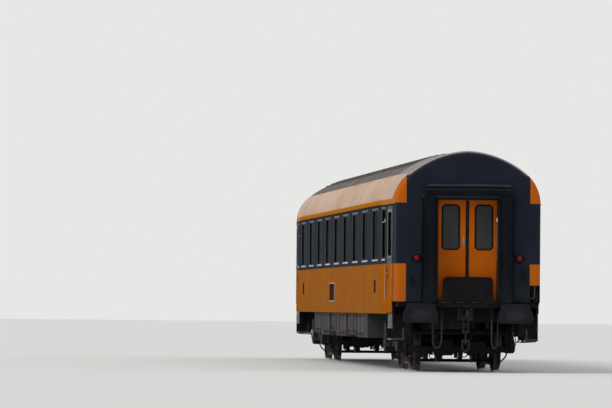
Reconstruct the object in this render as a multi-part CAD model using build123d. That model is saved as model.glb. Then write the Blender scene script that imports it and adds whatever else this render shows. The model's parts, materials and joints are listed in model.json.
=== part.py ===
"""Passenger coach of the 26.4 m European standard type, with side compartments.

Millimetres. X runs along the coach with +X at the rear end, +Y is the right side
for someone who faces the front, and Z is up. The origin is under the middle of
the coach, at the lowest points of the wheel flanges, so the rail head lies
FLANGE_DEPTH above Z = 0. Heights named *_H are measured from the rail head and
turned into Z by the function z_at. Round bars, wheels and springs have flat sides
and rounded corners have flat steps, so that the whole coach stays a light mesh.
"""
from build123d import *
import math
import os

# Flat sides and steps that stand for round forms
WHEEL_SIDES = 24
RIM_SIDES = 16
DISC_SIDES = 12
DRUM_SIDES = 10
BAR_SIDES = 8
CORNER_STEPS = 2
LINING_STEPS = 3

# Wheels and track
FLANGE_DEPTH = 28.0
WHEEL_R = 445.0
WHEEL_BACK_TO_BACK = 1360.0
RIM_WIDTH = 135.0
RIM_DEPTH = 50.0
FLANGE_W = 32.0
WEB_T = 34.0
WEB_IN = 50.0
HUB_R = 125.0
HUB_PROUD = 8.0
AXLE_R = 80.0
JOURNAL_END_Y = 1075.0
DISC_R = 305.0
DISC_T = 80.0
DISC_Y = 330.0

# Body shell
BODY_LENGTH = 26100.0
BUFFER_REACH = 150.0
BODY_HALF_WIDTH = 1412.5
END_INSET = 72.5
TAPER_RUN = 2250.0
END_OVERHANG = 3550.0
WALL_T = 60.0
END_WALL_T = 120.0
END_EDGE = 45.0
SIDE_BOTTOM_H = 1040.0
CORNER_BOTTOM_H = 1270.0
CORNER_RUN = 450.0
ROOF_RISE = 980.0
HAUNCH_R = 734.0
RIB_COUNT = 15
RIB_PITCH_DEG = 3.9
RIB_W_DEG = 1.1
RIB_H = 14.0
GUTTER_OUT = 14.0
GUTTER_TALL = 12.0
NOTCH_W = 200.0
SECTION_STEPS = 5
NOTCH_TOP_H = 1580.0
FLOOR_TOP_H = 1250.0
FLOOR_T = 80.0
CEILING_RISE = 165.0
CEILING_T = 20.0
CEILING_SIDE = 172.5

# Side windows
WINDOW_PITCH = 2380.0
WINDOW_W = 1400.0
WINDOW_BOTTOM_H = 2030.0
WINDOW_TOP_H = 3015.0
WINDOW_HEAD = 50.0
WINDOW_BAR = 34.0
WINDOW_CORNER_R = 70.0
FRAME_PROUD = 6.0
FRAME_T = 22.0
GLASS_T = 20.0
WC_WINDOW_IN = 450.0
WC_WINDOW_W = 640.0

# Entrance doors and steps
DOOR_IN = 410.0
DOOR_W = 880.0
DOOR_GAP = 5.0
DOOR_HEAD = 30.0
DOOR_SILL = 10.0
DOOR_T = 45.0
DOOR_GLASS_SIDE = 130.0
DOOR_GLASS_IN = 18.0
DOOR_GLASS_BOTTOM_H = 2090.0
DOOR_GLASS_HEAD = 100.0
STEP_DEPTH = 232.0
STEP_SIDE = 60.5
STEP_IN = 60.0
STEP_GAP = 12.0
STEP_BOX_BOTTOM_H = 775.0
STEP_TREAD_H = 560.0
STEP_PLATE = 22.0

# Gangway and end doors
DOORWAY_HALF_W = 550.0
DOORWAY_RISE = 75.0
LEAF_W = 545.0
LEAF_T = 40.0
LEAF_CLEAR = 45.0
LEAF_GAP = 6.0
LEAF_FLOOR_GAP = 8.0
LEAF_HEAD = 20.0
TRACK_GAP = 6.0
TRACK_TALL = 60.0
TRACK_HALF_W = 1110.0
TRACK_OUT = 12.0
LEAF_GLASS_W = 300.0
LEAF_GLASS_TALL = 800.0
LEAF_GLASS_HEAD = 100.0
LEAF_GLASS_CENTRE_Y = 305.0
LEAF_GLASS_R = 60.0
TUBE_INNER_Y = 580.0
TUBE_OUTER_Y = 830.0
TUBE_DEPTH = 135.0
TUBE_RISE = 75.0
ROLL_TALL = 215.0
FOOT_TALL = 70.0
FOOT_OUT = 35.0
FOOT_DEPTH = 90.0
FOOT_GAP = 15.0
TUBE_BOTTOM_H = 1250.0
TUBE_CORNER_R = 90.0
ROLL_CORNER_R = 60.0
PLATE_HALF_W = 465.0
PLATE_HEIGHT = 470.0
PLATE_T = 30.0
PLATE_CORNER_R = 75.0
PLATE_GAP = 8.0
PLATE_OUT = 6.0
HINGE_W = 70.0
HINGE_TALL = 60.0
HINGE_Y = 520.0

# Buffers and draw gear
BUFFER_H = 1060.0
BUFFER_SPACING = 1750.0
BUFFER_HEAD_W = 640.0
BUFFER_HEAD_TALL = 360.0
BUFFER_HEAD_T = 40.0
BUFFER_CORNER = 35.0
BUFFER_TOP_W = 420.0
BUFFER_PLUNGER_R = 82.0
BUFFER_CASE_R = 105.0
BUFFER_CASE_L = 330.0
BUFFER_BASE_T = 25.0
BUFFER_BASE_HALF_W = 160.0
BUFFER_BASE_DOWN = 150.0
BUFFER_BASE_UP = 110.0
HEADSTOCK_IN = 470.0
HEADSTOCK_T = 120.0
HEADSTOCK_HALF_W = 1110.0
HEADSTOCK_BOTTOM_H = 890.0
DRAG_L = 1160.0
DRAG_Y = 250.0
DRAG_W = 120.0
DRAG_BOTTOM_H = 990.0
HOOK_H = 1045.0
HOOK_T = 64.0
HOOK_CLEAR = 8.0
PIN_OUT = 150.0
PIN_R = 22.0
PIN_CLEAR = 1.0
LINK_T = 24.0
LINK_L = 320.0
NUT_DOWN = 470.0
BOW_END = 680.0
BOW_Y = 58.0
BOW_R = 18.0

# Bogies
WHEELBASE = 2560.0
SILL_Y = 1000.0
SILL_W = 150.0
SILL_END_X = 1560.0
SILL_HIGH_H = 900.0
SILL_LOW_H = 690.0
SILL_DEPTH = 150.0
SPRING_R = 105.0
MAIN_SPRING_R = 118.0
MAIN_SPRING_X = 250.0
BOX_HALF_L = 150.0
BOX_OUTER = 95.0
BOX_INNER = 75.0
BOX_DOWN = 130.0
BOX_UP = 140.0
COVER_R = 98.0
COVER_T = 24.0
ARM_END_X = 700.0
ARM_HALF_W = 45.0
ARM_DOWN = 40.0
ARM_UP = 60.0
DAMPER_X = 920.0
DAMPER_Y = 1112.0
DAMPER_R = 34.0
DAMPER_SIDES = 6
BEAM_X = 430.0
BEAM_HALF_W = 80.0
BEAM_DROP = 20.0
BOX_CLEAR = 3.0
BOLSTER_TOP_H = 1028.0
BOLSTER_DEPTH = 120.0
BOLSTER_HALF_L = 430.0
BOLSTER_HALF_W = 1120.0
PIVOT_R = 90.0
PIVOT_LOW_H = 930.0
PIVOT_CLEAR = 6.0
BOLSTER_GAP = 8.0

# Underframe
SILL_T = 90.0
BEARER_PITCH = 1000.0
BEARER_W = 80.0
BEARER_SIDE = 150.0
CENTRE_PLATE_HALF_L = 420.0
CASE_CLEAR = 2350.0
CASE_GAP = 150.0
CASE_INNER_Y = 620.0
CASE_SIDE = 67.5
CASE_TOP_GAP = 10.0
CASE_LOW_H = 560.0
CASE_STEP = 40.0
CASE_CARRIER = 120.0
CARRIER_Y0 = 700.0
CARRIER_Y1 = 1200.0
TANK_L = 2100.0
TANK_R = 210.0
TANK_H = 830.0
TANK_APART = 4050.0
STRAP_IN = 50.0
STRAP_W = 60.0
STRAP_HALF_L = 120.0
MAGNET_L = 1120.0
MAGNET_Y = 748.0
MAGNET_W = 110.0
MAGNET_LOW_H = 95.0
MAGNET_HIGH_H = 235.0
MAGNET_TIE_X = 520.0
MAGNET_TIE_W = 50.0
MAGNET_HANGER_W = 60.0
CHEEK_GAP = 8.0
CHEEK_T = 30.0
CHEEK_X0 = 620.0
CHEEK_X1 = 1130.0
CHEEK_ROOT_X = 510.0
CHEEK_LAP = 20.0
CHEEK_DOWN = 90.0
CHEEK_UP = 110.0
BEARER_H = 1100.0
PLATFORM_HALF_W = 1120.0

# Brake hoses
HOSE_R = 15.0
HOSE_TOP_H = 1000.0
HOSE_Y = 600.0
HOSE_OUT = 70.0
HOSE_WIDTH = 289.0
HOSE_TURN_DEG = 28.5
HOSE_SIDES = 6
HOSE_SECTION = HOSE_SIDES / 2 * HOSE_R**2 * math.sin(2 * math.pi / HOSE_SIDES)

# Lamps, signs, sockets and handles
LAMP_Y = 948.0
LAMP_H = 2073.0
LAMP_R = 100.0
LAMP_T = 22.0
LENS_R = 52.0
LENS_T = 18.0
SIGN_X = -1190.0
SIGN_W = 1400.0
SIGN_LOW_H = 1262.0
SIGN_HIGH_H = 1655.0
SMALL_SIGN_W = 270.0
SMALL_SIGN_LOW_H = 1430.0
SMALL_SIGN_HIGH_H = 1670.0
SIGN_PROUD = 6.0
SOCKET_PLACES = ((-1038.0, 1604.0), (1019.0, 1724.0))
SOCKET_R = 50.0
SOCKET_T = 60.0
HANDLE_IN = 95.0
HANDLE_LOW_H = 1340.0
HANDLE_R = 14.0

# Interior
CORRIDOR_Y = 550.0
PARTITION_T = 40.0
WALL_SCRIBE = 40.0
COMPARTMENT_DOOR_W = 680.0
COMPARTMENT_DOOR_HEAD = 80.0
SEAT_DEPTH = 520.0
SEAT_TOP_H = 1680.0
SEAT_BACK_TOP_H = 2420.0
SEAT_BACK_T = 130.0
VESTIBULE_IN = 80.0
SEAT_SIDE = 30.0
SEAT_T = 130.0
SEAT_FOOT = 330.0
SEAT_LEAN = 40.0
CEILING_END = 300.0

# Worked out from the sizes above
BODY_END_X = BODY_LENGTH / 2
LENGTH_OVER_BUFFERS = BODY_LENGTH + 2 * BUFFER_REACH
BUFFER_FACE_X = LENGTH_OVER_BUFFERS / 2
END_HALF_WIDTH = BODY_HALF_WIDTH - END_INSET
TAPER_START_X = BODY_END_X - TAPER_RUN
CORNER_START_X = BODY_END_X - CORNER_RUN
DOOR_X1 = BODY_END_X - DOOR_IN
DOOR_X0 = DOOR_X1 - DOOR_W
HEADSTOCK_X = BODY_END_X - HEADSTOCK_IN
VESTIBULE_X = DOOR_X0 - VESTIBULE_IN
WC_WINDOW_X = TAPER_START_X + WC_WINDOW_IN
WINDOW_COUNT = int(2 * TAPER_START_X / WINDOW_PITCH)
SMALL_SIGN_X = (WINDOW_COUNT - 1) / 2 * WINDOW_PITCH
END_INNER_X = BODY_END_X - END_WALL_T
TAPER = (BODY_HALF_WIDTH - END_HALF_WIDTH) / (BODY_END_X - TAPER_START_X)
BOGIE_X = BODY_END_X - END_OVERHANG
CASES_END_X = BOGIE_X - CASE_CLEAR
BEARER_COUNT = int(2 * CASES_END_X / BEARER_PITCH) + 1
BEARER_HALF_L = BODY_HALF_WIDTH - BEARER_SIDE
STEP_OUTER_Y = BODY_HALF_WIDTH - STEP_SIDE
STEP_INNER_Y = STEP_OUTER_Y - STEP_DEPTH
CEILING_HALF_W = BODY_HALF_WIDTH - CEILING_SIDE
NOTCH_Y = END_HALF_WIDTH - NOTCH_W
HANDLE_Y = NOTCH_Y + HANDLE_IN
CANT_H = WINDOW_TOP_H + WINDOW_HEAD
ROOF_TOP_H = CANT_H + ROOF_RISE
CEILING_H = CANT_H + CEILING_RISE
DOOR_TOP_H = CANT_H - DOOR_HEAD
DOOR_BOTTOM_H = SIDE_BOTTOM_H + DOOR_SILL
DOOR_GLASS_TOP_H = DOOR_TOP_H - DOOR_GLASS_HEAD
DOORWAY_TOP_H = CANT_H + DOORWAY_RISE
LEAF_GLASS_TOP_H = DOORWAY_TOP_H - LEAF_GLASS_HEAD
LEAF_GLASS_BOTTOM_H = LEAF_GLASS_TOP_H - LEAF_GLASS_TALL
TUBE_HEAD_H = DOORWAY_TOP_H + TUBE_RISE
TUBE_TOP_H = TUBE_HEAD_H + ROLL_TALL
HAUNCH_CENTRE_Y = BODY_HALF_WIDTH - HAUNCH_R
ROOF_DROP = CANT_H - ROOF_TOP_H
ROOF_R = (HAUNCH_R**2 - HAUNCH_CENTRE_Y**2 - ROOF_DROP**2) / (2 * (ROOF_DROP + HAUNCH_R))
ROOF_CENTRE_H = ROOF_TOP_H - ROOF_R
HAUNCH_ANGLE = math.atan2(CANT_H - ROOF_CENTRE_H, HAUNCH_CENTRE_Y)
RIDGE_ANGLE = math.acos((BODY_HALF_WIDTH - END_HALF_WIDTH) / ROOF_R)


def z_at(height):
    """Z of a height that is measured from the rail head."""
    return height + FLANGE_DEPTH


def inset_at(x):
    """How far each side of the body has moved inwards at a place along the coach."""
    return max(0.0, abs(x) - TAPER_START_X) * TAPER


def half_width_at(x):
    """Half of the body's outer width at a place along the coach."""
    return BODY_HALF_WIDTH - inset_at(x)


def block(x0, x1, y0, y1, z0, z1):
    """Box between two corners."""
    size = (abs(x1 - x0), abs(y1 - y0), abs(z1 - z0))
    centre = ((x0 + x1) / 2, (y0 + y1) / 2, (z0 + z1) / 2)
    return Pos(*centre) * Box(*size)


def bar(start, end, radius, sides=BAR_SIDES):
    """Bar with flat sides between two points."""
    a, b = Vector(*start), Vector(*end)
    axis = b - a
    return extrude(Plane(a, z_dir=axis) * RegularPolygon(radius, sides), amount=axis.length)


def drum(y0, y1, radius, sides, end_radius=None):
    """Flat-sided drum or cone round the Y axis, with a flat side below.

    The radii reach to the middle of each flat side; end_radius, at y1, makes a cone.
    """
    def corners(y, reach):
        angles = [2 * math.pi * (index + 0.5) / sides - math.pi / 2 for index in range(sides)]
        corner_r = reach / math.cos(math.pi / sides)
        return [(corner_r * math.cos(angle), y, corner_r * math.sin(angle)) for angle in angles]

    start, end = corners(y0, radius), corners(y1, radius if end_radius is None else end_radius)
    outlines = [start, end]
    outlines += [(start[index - 1], start[index], end[index], end[index - 1]) for index in range(sides)]
    faces = [make_face(Polyline(*outline, close=True)).face() for outline in outlines]
    return Solid(Shell(faces))


def rounded_outline(width, height, radii, steps=CORNER_STEPS):
    """Rectangle in XY whose corners are rounded in flat steps.

    radii gives the four corners' radii, from the upper right one anticlockwise.
    """
    corners = ((1, 1, 0), (-1, 1, 90), (-1, -1, 180), (1, -1, 270))
    points = []
    for (right, up, start), radius in zip(corners, radii):
        x, y = right * (width / 2 - radius), up * (height / 2 - radius)
        if radius == 0:
            points.append((x, y))
            continue
        for step in range(steps + 1):
            angle = math.radians(start + 90 * step / steps)
            points.append((x + radius * math.cos(angle), y + radius * math.sin(angle)))
    return make_face(Polyline(*points, close=True))


def at_both_ends(shape):
    """The rear-end shape and its half-turn copy at the front end."""
    return [shape, shape.rotate(Axis.Z, 180)]


def on_both_sides(shape):
    """The left-side shape and its mirror image on the right side."""
    return [shape, shape.mirror(Plane.XZ)]


def save(name, *shapes):
    """Write one node's solids to its file."""
    solids = [solid for shape in shapes for solid in shape.solids()]
    node = solids[0] if len(solids) == 1 else Compound(solids)
    node.label = name
    export_step(node, f"parts/{name}.step")


def fuse(*shapes):
    """Join shapes that touch or overlap into one solid."""
    joined = shapes[0]
    for shape in shapes[1:]:
        joined = joined + shape
    return joined


def plan_prism(points, z0, z1):
    """Upright prism on an outline of (x, y) points."""
    return extrude(Pos(0, 0, z0) * make_face(Polyline(*points, close=True)), amount=z1 - z0)


def wall_plan(x0, x1, outside=0.0, thickness=WALL_T):
    """Left wall's plan outline between two places, following the tapered ends."""
    stations = [x0] + [x for x in (-TAPER_START_X, TAPER_START_X) if x0 < x < x1] + [x1]
    outer = [(x, -half_width_at(x) - outside) for x in stations]
    inner = [(x, y + thickness) for x, y in reversed(outer)]
    return outer + inner


# The cross-section above the walls: an arc over the middle and a tighter arc down to
# each wall, upright where it meets the wall. Along the tapered ends each half of the
# section keeps its form and moves inwards with its wall.

def sector(x, centre_y, centre_z, r_out, r_in, a0, a1):
    """Curved strip across the coach between two radii and two angles, with a lining of flats."""
    def on_arc(radius, angle):
        return (x, centre_y + radius * math.cos(angle), centre_z + radius * math.sin(angle))

    steps = [a1 + (a0 - a1) * step / LINING_STEPS for step in range(LINING_STEPS + 1)]
    edges = [
        ThreePointArc(on_arc(r_out, a0), on_arc(r_out, (a0 + a1) / 2), on_arc(r_out, a1)),
        Line(on_arc(r_out, a1), on_arc(r_in, a1)),
        *Polyline(*[on_arc(r_in, angle) for angle in steps]).edges(),
        Line(on_arc(r_in, a0), on_arc(r_out, a0)),
    ]
    return Face(Wire(edges))


def haunch_face(x):
    """Section of the left curved panel between the wall and the roof."""
    return sector(x, -HAUNCH_CENTRE_Y, z_at(CANT_H), HAUNCH_R, HAUNCH_R - WALL_T,
                  math.pi - HAUNCH_ANGLE, math.pi)


def half_roof_face(x):
    """Section of the left half of the smooth roof, up to the flat ridge."""
    return sector(x, 0, z_at(ROOF_CENTRE_H), ROOF_R, ROOF_R - WALL_T,
                  math.pi - RIDGE_ANGLE, math.pi - HAUNCH_ANGLE)


def ridge_face(x):
    """Section of the flat strip along the ridge, between the two halves."""
    outer = (ROOF_R * math.cos(RIDGE_ANGLE), z_at(ROOF_CENTRE_H) + ROOF_R * math.sin(RIDGE_ANGLE))
    lining_r = ROOF_R - WALL_T
    inner = (lining_r * math.cos(RIDGE_ANGLE), z_at(ROOF_CENTRE_H) + lining_r * math.sin(RIDGE_ANGLE))
    corners = [(x, -outer[0], outer[1]), (x, *outer), (x, *inner), (x, -inner[0], inner[1])]
    return make_face(Polyline(*corners, close=True)).face()


def ribbed_roof_face(x):
    """Section of the middle roof with raised ribs that run along the coach."""
    centre_z = z_at(ROOF_CENTRE_H)

    def on_arc(r, a):
        return (x, r * math.cos(a), centre_z + r * math.sin(a))

    def arc(r, a0, a1):
        return ThreePointArc(on_arc(r, a0), on_arc(r, (a0 + a1) / 2), on_arc(r, a1))

    edges = []
    place = HAUNCH_ANGLE
    rib_half = math.radians(RIB_W_DEG / 2)
    for index in range(RIB_COUNT):
        turn = (index - (RIB_COUNT - 1) / 2) * RIB_PITCH_DEG
        middle = math.pi / 2 + math.radians(turn)
        start, end = middle - rib_half, middle + rib_half
        edges.append(arc(ROOF_R, place, start))
        edges.append(Line(on_arc(ROOF_R, start), on_arc(ROOF_R + RIB_H, start)))
        edges.append(Line(on_arc(ROOF_R + RIB_H, start), on_arc(ROOF_R + RIB_H, end)))
        edges.append(Line(on_arc(ROOF_R + RIB_H, end), on_arc(ROOF_R, end)))
        place = end
    inner, far = ROOF_R - WALL_T, math.pi - HAUNCH_ANGLE
    steps = [far + (HAUNCH_ANGLE - far) * step / (2 * LINING_STEPS) for step in range(2 * LINING_STEPS + 1)]
    edges.append(arc(ROOF_R, place, far))
    edges.append(Line(on_arc(ROOF_R, far), on_arc(inner, far)))
    edges += Polyline(*[on_arc(inner, angle) for angle in steps]).edges()
    edges.append(Line(on_arc(inner, HAUNCH_ANGLE), on_arc(ROOF_R, HAUNCH_ANGLE)))
    return Face(Wire(edges))


def end_outline_face(x):
    """The whole end's outline in flat steps, from the corner panels' lower edge to the roof."""
    inset = inset_at(x)
    half_width = BODY_HALF_WIDTH - inset
    ridge_angle = math.acos(inset / ROOF_R)
    points = [(half_width, z_at(CORNER_BOTTOM_H))]
    for step in range(SECTION_STEPS + 1):
        angle = HAUNCH_ANGLE * step / SECTION_STEPS
        points.append((HAUNCH_CENTRE_Y - inset + HAUNCH_R * math.cos(angle),
                       z_at(CANT_H) + HAUNCH_R * math.sin(angle)))
    for step in range(1, SECTION_STEPS + 1):
        angle = HAUNCH_ANGLE + (ridge_angle - HAUNCH_ANGLE) * step / SECTION_STEPS
        points.append((ROOF_R * math.cos(angle) - inset, z_at(ROOF_CENTRE_H) + ROOF_R * math.sin(angle)))
    mirrored = [(-y, z) for y, z in reversed(points[:-1])]
    return make_face(Polyline(*[(x, y, z) for y, z in points + mirrored], close=True)).face()


def window_places():
    """Centre and width of each window along a side."""
    first = -(WINDOW_COUNT - 1) / 2
    wide = [((first + index) * WINDOW_PITCH, WINDOW_W) for index in range(WINDOW_COUNT)]
    return [(-WC_WINDOW_X, WC_WINDOW_W)] + wide + [(WC_WINDOW_X, WC_WINDOW_W)]


def window_hole(x, width):
    """Solid that cuts a window through the left wall."""
    reach = 2 * WALL_T
    hole = block(-width / 2, width / 2, -reach, reach, z_at(WINDOW_BOTTOM_H), z_at(WINDOW_TOP_H))
    return along_wall(hole, x)


def along_wall(shape, x):
    """Turn a shape that was made at the straight wall to lie in the wall at x."""
    slope = math.degrees(math.atan(TAPER)) if abs(x) > TAPER_START_X else 0.0
    turned = shape.rotate(Axis.Z, math.copysign(slope, x))
    return Pos(x, -half_width_at(x), 0) * turned


# Body shell

def side_wall():
    """Straight stretch of the left side wall with the compartments' windows."""
    wall = plan_prism(wall_plan(-TAPER_START_X, TAPER_START_X), z_at(SIDE_BOTTOM_H), z_at(CANT_H))
    for x, width in window_places()[1:-1]:
        wall -= window_hole(x, width)
    return wall


def vestibule_side():
    """Tapered stretch of the left wall at the rear, with a small window and the doorway."""
    wall = plan_prism(wall_plan(TAPER_START_X, END_INNER_X), z_at(SIDE_BOTTOM_H), z_at(CANT_H))
    wall -= window_hole(WC_WINDOW_X, WC_WINDOW_W)
    wall -= block(DOOR_X0, DOOR_X1, -2 * BODY_HALF_WIDTH, 0, 0, z_at(DOOR_TOP_H))
    return wall - block(CORNER_START_X, BODY_END_X, -2 * BODY_HALF_WIDTH, 0, 0, z_at(CORNER_BOTTOM_H))


def gutter(x0, x1):
    """Left rain gutter between two places, along the curved panel's lower edge."""
    outline = wall_plan(x0, x1, GUTTER_OUT, GUTTER_OUT + 4)
    return plan_prism(outline, z_at(CANT_H), z_at(CANT_H) + GUTTER_TALL)


def cant_panel():
    """Straight stretch of the left curved panel between wall and roof."""
    panel = extrude(haunch_face(-TAPER_START_X), amount=2 * TAPER_START_X, dir=(1, 0, 0))
    return panel + gutter(-TAPER_START_X, TAPER_START_X)


def roof_end():
    """Whole roof over the rear tapered stretch: two halves pushed inwards along the taper."""
    run = END_INNER_X - TAPER_START_X
    push, pull = Vector(run, run * TAPER, 0), Vector(run, -run * TAPER, 0)
    half = fuse(Solid.extrude(haunch_face(TAPER_START_X), push),
                Solid.extrude(half_roof_face(TAPER_START_X), push),
                gutter(TAPER_START_X, END_INNER_X))
    ridge = Solid.extrude(ridge_face(TAPER_START_X), push) & Solid.extrude(ridge_face(TAPER_START_X), pull)
    return fuse(half, half.mirror(Plane.XZ), ridge)


def ribbed_roof():
    """Ribbed roof over the straight stretch."""
    return extrude(ribbed_roof_face(-TAPER_START_X), amount=2 * TAPER_START_X, dir=(1, 0, 0))


def end_wall():
    """Rear end wall with its doorway and the shunter's notch in one corner."""
    wall = extrude(end_outline_face(BODY_END_X), amount=END_WALL_T, dir=(-1, 0, 0))
    outer = wall.faces().sort_by(Axis.X)[-1].edges()
    rounded = [edge for edge in outer if edge.center().Z > z_at(CORNER_BOTTOM_H) + 1]
    wall = chamfer(rounded, END_EDGE)
    wall -= block(END_INNER_X - 1, BODY_END_X + 1, -DOORWAY_HALF_W, DOORWAY_HALF_W,
                  0, z_at(DOORWAY_TOP_H))
    return wall - block(END_INNER_X - 1, BODY_END_X + 1, NOTCH_Y, 2 * END_HALF_WIDTH,
                        0, z_at(NOTCH_TOP_H))


def floor_pan():
    """Floor plate with its end platforms, side sills and cross bearers."""
    edge = [(x, -half_width_at(x) + WALL_T) for x in
            (-END_INNER_X, -TAPER_START_X, TAPER_START_X, END_INNER_X)]
    outline = edge + [(x, -y) for x, y in reversed(edge)]
    top, under = z_at(FLOOR_TOP_H), z_at(FLOOR_TOP_H - FLOOR_T)
    floor = plan_prism(outline, under, top)
    sill = plan_prism(wall_plan(-DOOR_X0 + STEP_IN, DOOR_X0 - STEP_IN, -WALL_T, SILL_T),
                      z_at(SIDE_BOTTOM_H), under)
    floor = fuse(floor, *on_both_sides(sill))
    for side in (-1, 1):
        floor += block(side * END_INNER_X, side * BODY_END_X, -PLATFORM_HALF_W, PLATFORM_HALF_W, under, top)
    for index in range(BEARER_COUNT):
        x = (index - (BEARER_COUNT - 1) / 2) * BEARER_PITCH
        floor += block(x - BEARER_W / 2, x + BEARER_W / 2, -BEARER_HALF_L, BEARER_HALF_L, z_at(BEARER_H), under)
    return floor


def centre_plate():
    """Rear body bolster and the pivot pin that stands down into the bogie."""
    under = z_at(FLOOR_TOP_H - FLOOR_T)
    bolster = block(BOGIE_X - CENTRE_PLATE_HALF_L, BOGIE_X + CENTRE_PLATE_HALF_L, -BEARER_HALF_L, BEARER_HALF_L,
                    z_at(BOLSTER_TOP_H) + BOLSTER_GAP, under)
    return bolster + bar((BOGIE_X, 0, z_at(PIVOT_LOW_H)), (BOGIE_X, 0, under), PIVOT_R, DRUM_SIDES)


def headstock():
    """Rear buffer beam with the centre sills that carry it."""
    bottom, top = z_at(HEADSTOCK_BOTTOM_H), z_at(FLOOR_TOP_H - FLOOR_T)
    beam = block(HEADSTOCK_X - HEADSTOCK_T, HEADSTOCK_X, -HEADSTOCK_HALF_W, HEADSTOCK_HALF_W, bottom, top)
    for side in (-1, 1):
        beam += block(HEADSTOCK_X - HEADSTOCK_T - DRAG_L, HEADSTOCK_X - HEADSTOCK_T, side * DRAG_Y,
                      side * (DRAG_Y + DRAG_W), z_at(DRAG_BOTTOM_H), top)
    return beam


def side_window_frames():
    """Left window frames: plates with a rounded opening, proud of the wall."""
    frames = []
    low, high = z_at(WINDOW_BOTTOM_H), z_at(WINDOW_TOP_H)
    for x, width in window_places():
        plate = block(-width / 2, width / 2, -FRAME_PROUD, FRAME_T - FRAME_PROUD, low, high)
        clear = (width - 2 * WINDOW_BAR, high - low - 2 * WINDOW_BAR)
        hole = Plane.XZ * rounded_outline(*clear, [WINDOW_CORNER_R] * 4, steps=1)
        plate -= Pos(0, 0, (low + high) / 2) * extrude(hole, amount=WALL_T, both=True)
        frames.append(along_wall(plate, x))
    return frames


def side_window_panes():
    """Left window panes, behind their frames."""
    front = FRAME_T - FRAME_PROUD
    panes = []
    for x, width in window_places():
        pane = block(-width / 2, width / 2, front, front + GLASS_T,
                     z_at(WINDOW_BOTTOM_H), z_at(WINDOW_TOP_H))
        panes.append(along_wall(pane, x))
    return panes


def door_window(inward, thickness):
    """Solid as large as an entrance door's window, so far inside the wall's outer face."""
    x0, x1 = DOOR_X0 + DOOR_GLASS_SIDE, DOOR_X1 - DOOR_GLASS_SIDE
    return plan_prism(wall_plan(x0, x1, -inward, thickness),
                      z_at(DOOR_GLASS_BOTTOM_H), z_at(DOOR_GLASS_TOP_H))


def entrance_door():
    """Left rear entrance door leaf."""
    leaf = plan_prism(wall_plan(DOOR_X0 + DOOR_GAP, DOOR_X1 - DOOR_GAP, 0, DOOR_T),
                      z_at(DOOR_BOTTOM_H), z_at(DOOR_TOP_H) - DOOR_GAP)
    return leaf - door_window(-1, DOOR_T + 2)


def entrance_steps():
    """Left rear step box with a lower tread between its two cheeks."""
    x0, x1 = DOOR_X0, DOOR_X1 - STEP_IN
    top = z_at(DOOR_BOTTOM_H) - STEP_GAP
    box_low, tread = z_at(STEP_BOX_BOTTOM_H), z_at(STEP_TREAD_H)
    inner, outer = -STEP_INNER_Y, -STEP_OUTER_Y
    steps = block(x0, x1, inner, outer, box_low, box_low + STEP_PLATE)
    steps += block(x0, x1, outer + STEP_PLATE, outer, box_low, top)
    steps += block(x0, x1, inner, outer, tread, tread + STEP_PLATE)
    steps += block(x0, x1, inner, inner - STEP_PLATE, box_low, z_at(FLOOR_TOP_H - FLOOR_T))
    for x in (x0, x1 - STEP_PLATE):
        steps += block(x, x + STEP_PLATE, inner, outer, tread, top)
    return steps


# Gangway, end doors and what stands on the ends

def gangway_tubes():
    """Rear rubber tubes: one upright on each side and a thick roll above."""
    low, high, top = z_at(TUBE_BOTTOM_H), z_at(TUBE_HEAD_H), z_at(TUBE_TOP_H)
    width, middle = TUBE_OUTER_Y - TUBE_INNER_Y, (TUBE_OUTER_Y + TUBE_INNER_Y) / 2
    out_x = BODY_END_X + TUBE_DEPTH / 2
    section = rounded_outline(TUBE_DEPTH, width, [TUBE_CORNER_R, 0, 0, TUBE_CORNER_R])
    tubes = [Pos(out_x, side * middle, low) * extrude(section, amount=high - low) for side in (-1, 1)]
    section = rounded_outline(TUBE_DEPTH, top - high, [ROLL_CORNER_R, 0, 0, ROLL_CORNER_R])
    roll = extrude(Plane.XZ * section, amount=TUBE_OUTER_Y, both=True)
    return tubes + [Pos(out_x, 0, (high + top) / 2) * roll]


def gangway_foot():
    """Rear left flared foot: a plate that carries the upright tube."""
    low = z_at(TUBE_BOTTOM_H) - FOOT_GAP
    return block(BODY_END_X, BODY_END_X + FOOT_DEPTH, -TUBE_INNER_Y, -TUBE_OUTER_Y - FOOT_OUT,
                 low - FOOT_TALL, z_at(TUBE_BOTTOM_H))


def door_track():
    """Rear head rail that carries both sliding leaves, on the end wall's inner face."""
    back = END_INNER_X - LEAF_CLEAR - LEAF_T - TRACK_OUT
    low = z_at(DOORWAY_TOP_H) + LEAF_HEAD + TRACK_GAP
    return block(back, END_INNER_X, -TRACK_HALF_W, TRACK_HALF_W, low, low + TRACK_TALL)


def plate_hinge():
    """Rear left bracket beside the bridge plate, on the end of the floor."""
    low = z_at(FLOOR_TOP_H)
    return block(BODY_END_X, BODY_END_X + PLATE_OUT + PLATE_T, -HINGE_Y + HINGE_W / 2,
                 -HINGE_Y - HINGE_W / 2, low - HINGE_TALL, low + HINGE_TALL)


def leaf_window(x0, x1, side):
    """Solid as large as an end door's window between two places along the coach."""
    tall = LEAF_GLASS_TOP_H - LEAF_GLASS_BOTTOM_H
    outline = Plane.YZ * rounded_outline(LEAF_GLASS_W, tall, [LEAF_GLASS_R] * 4)
    place = Pos(x0, side * LEAF_GLASS_CENTRE_Y, z_at(LEAF_GLASS_BOTTOM_H) + tall / 2)
    return place * extrude(outline, amount=x1 - x0)


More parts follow.
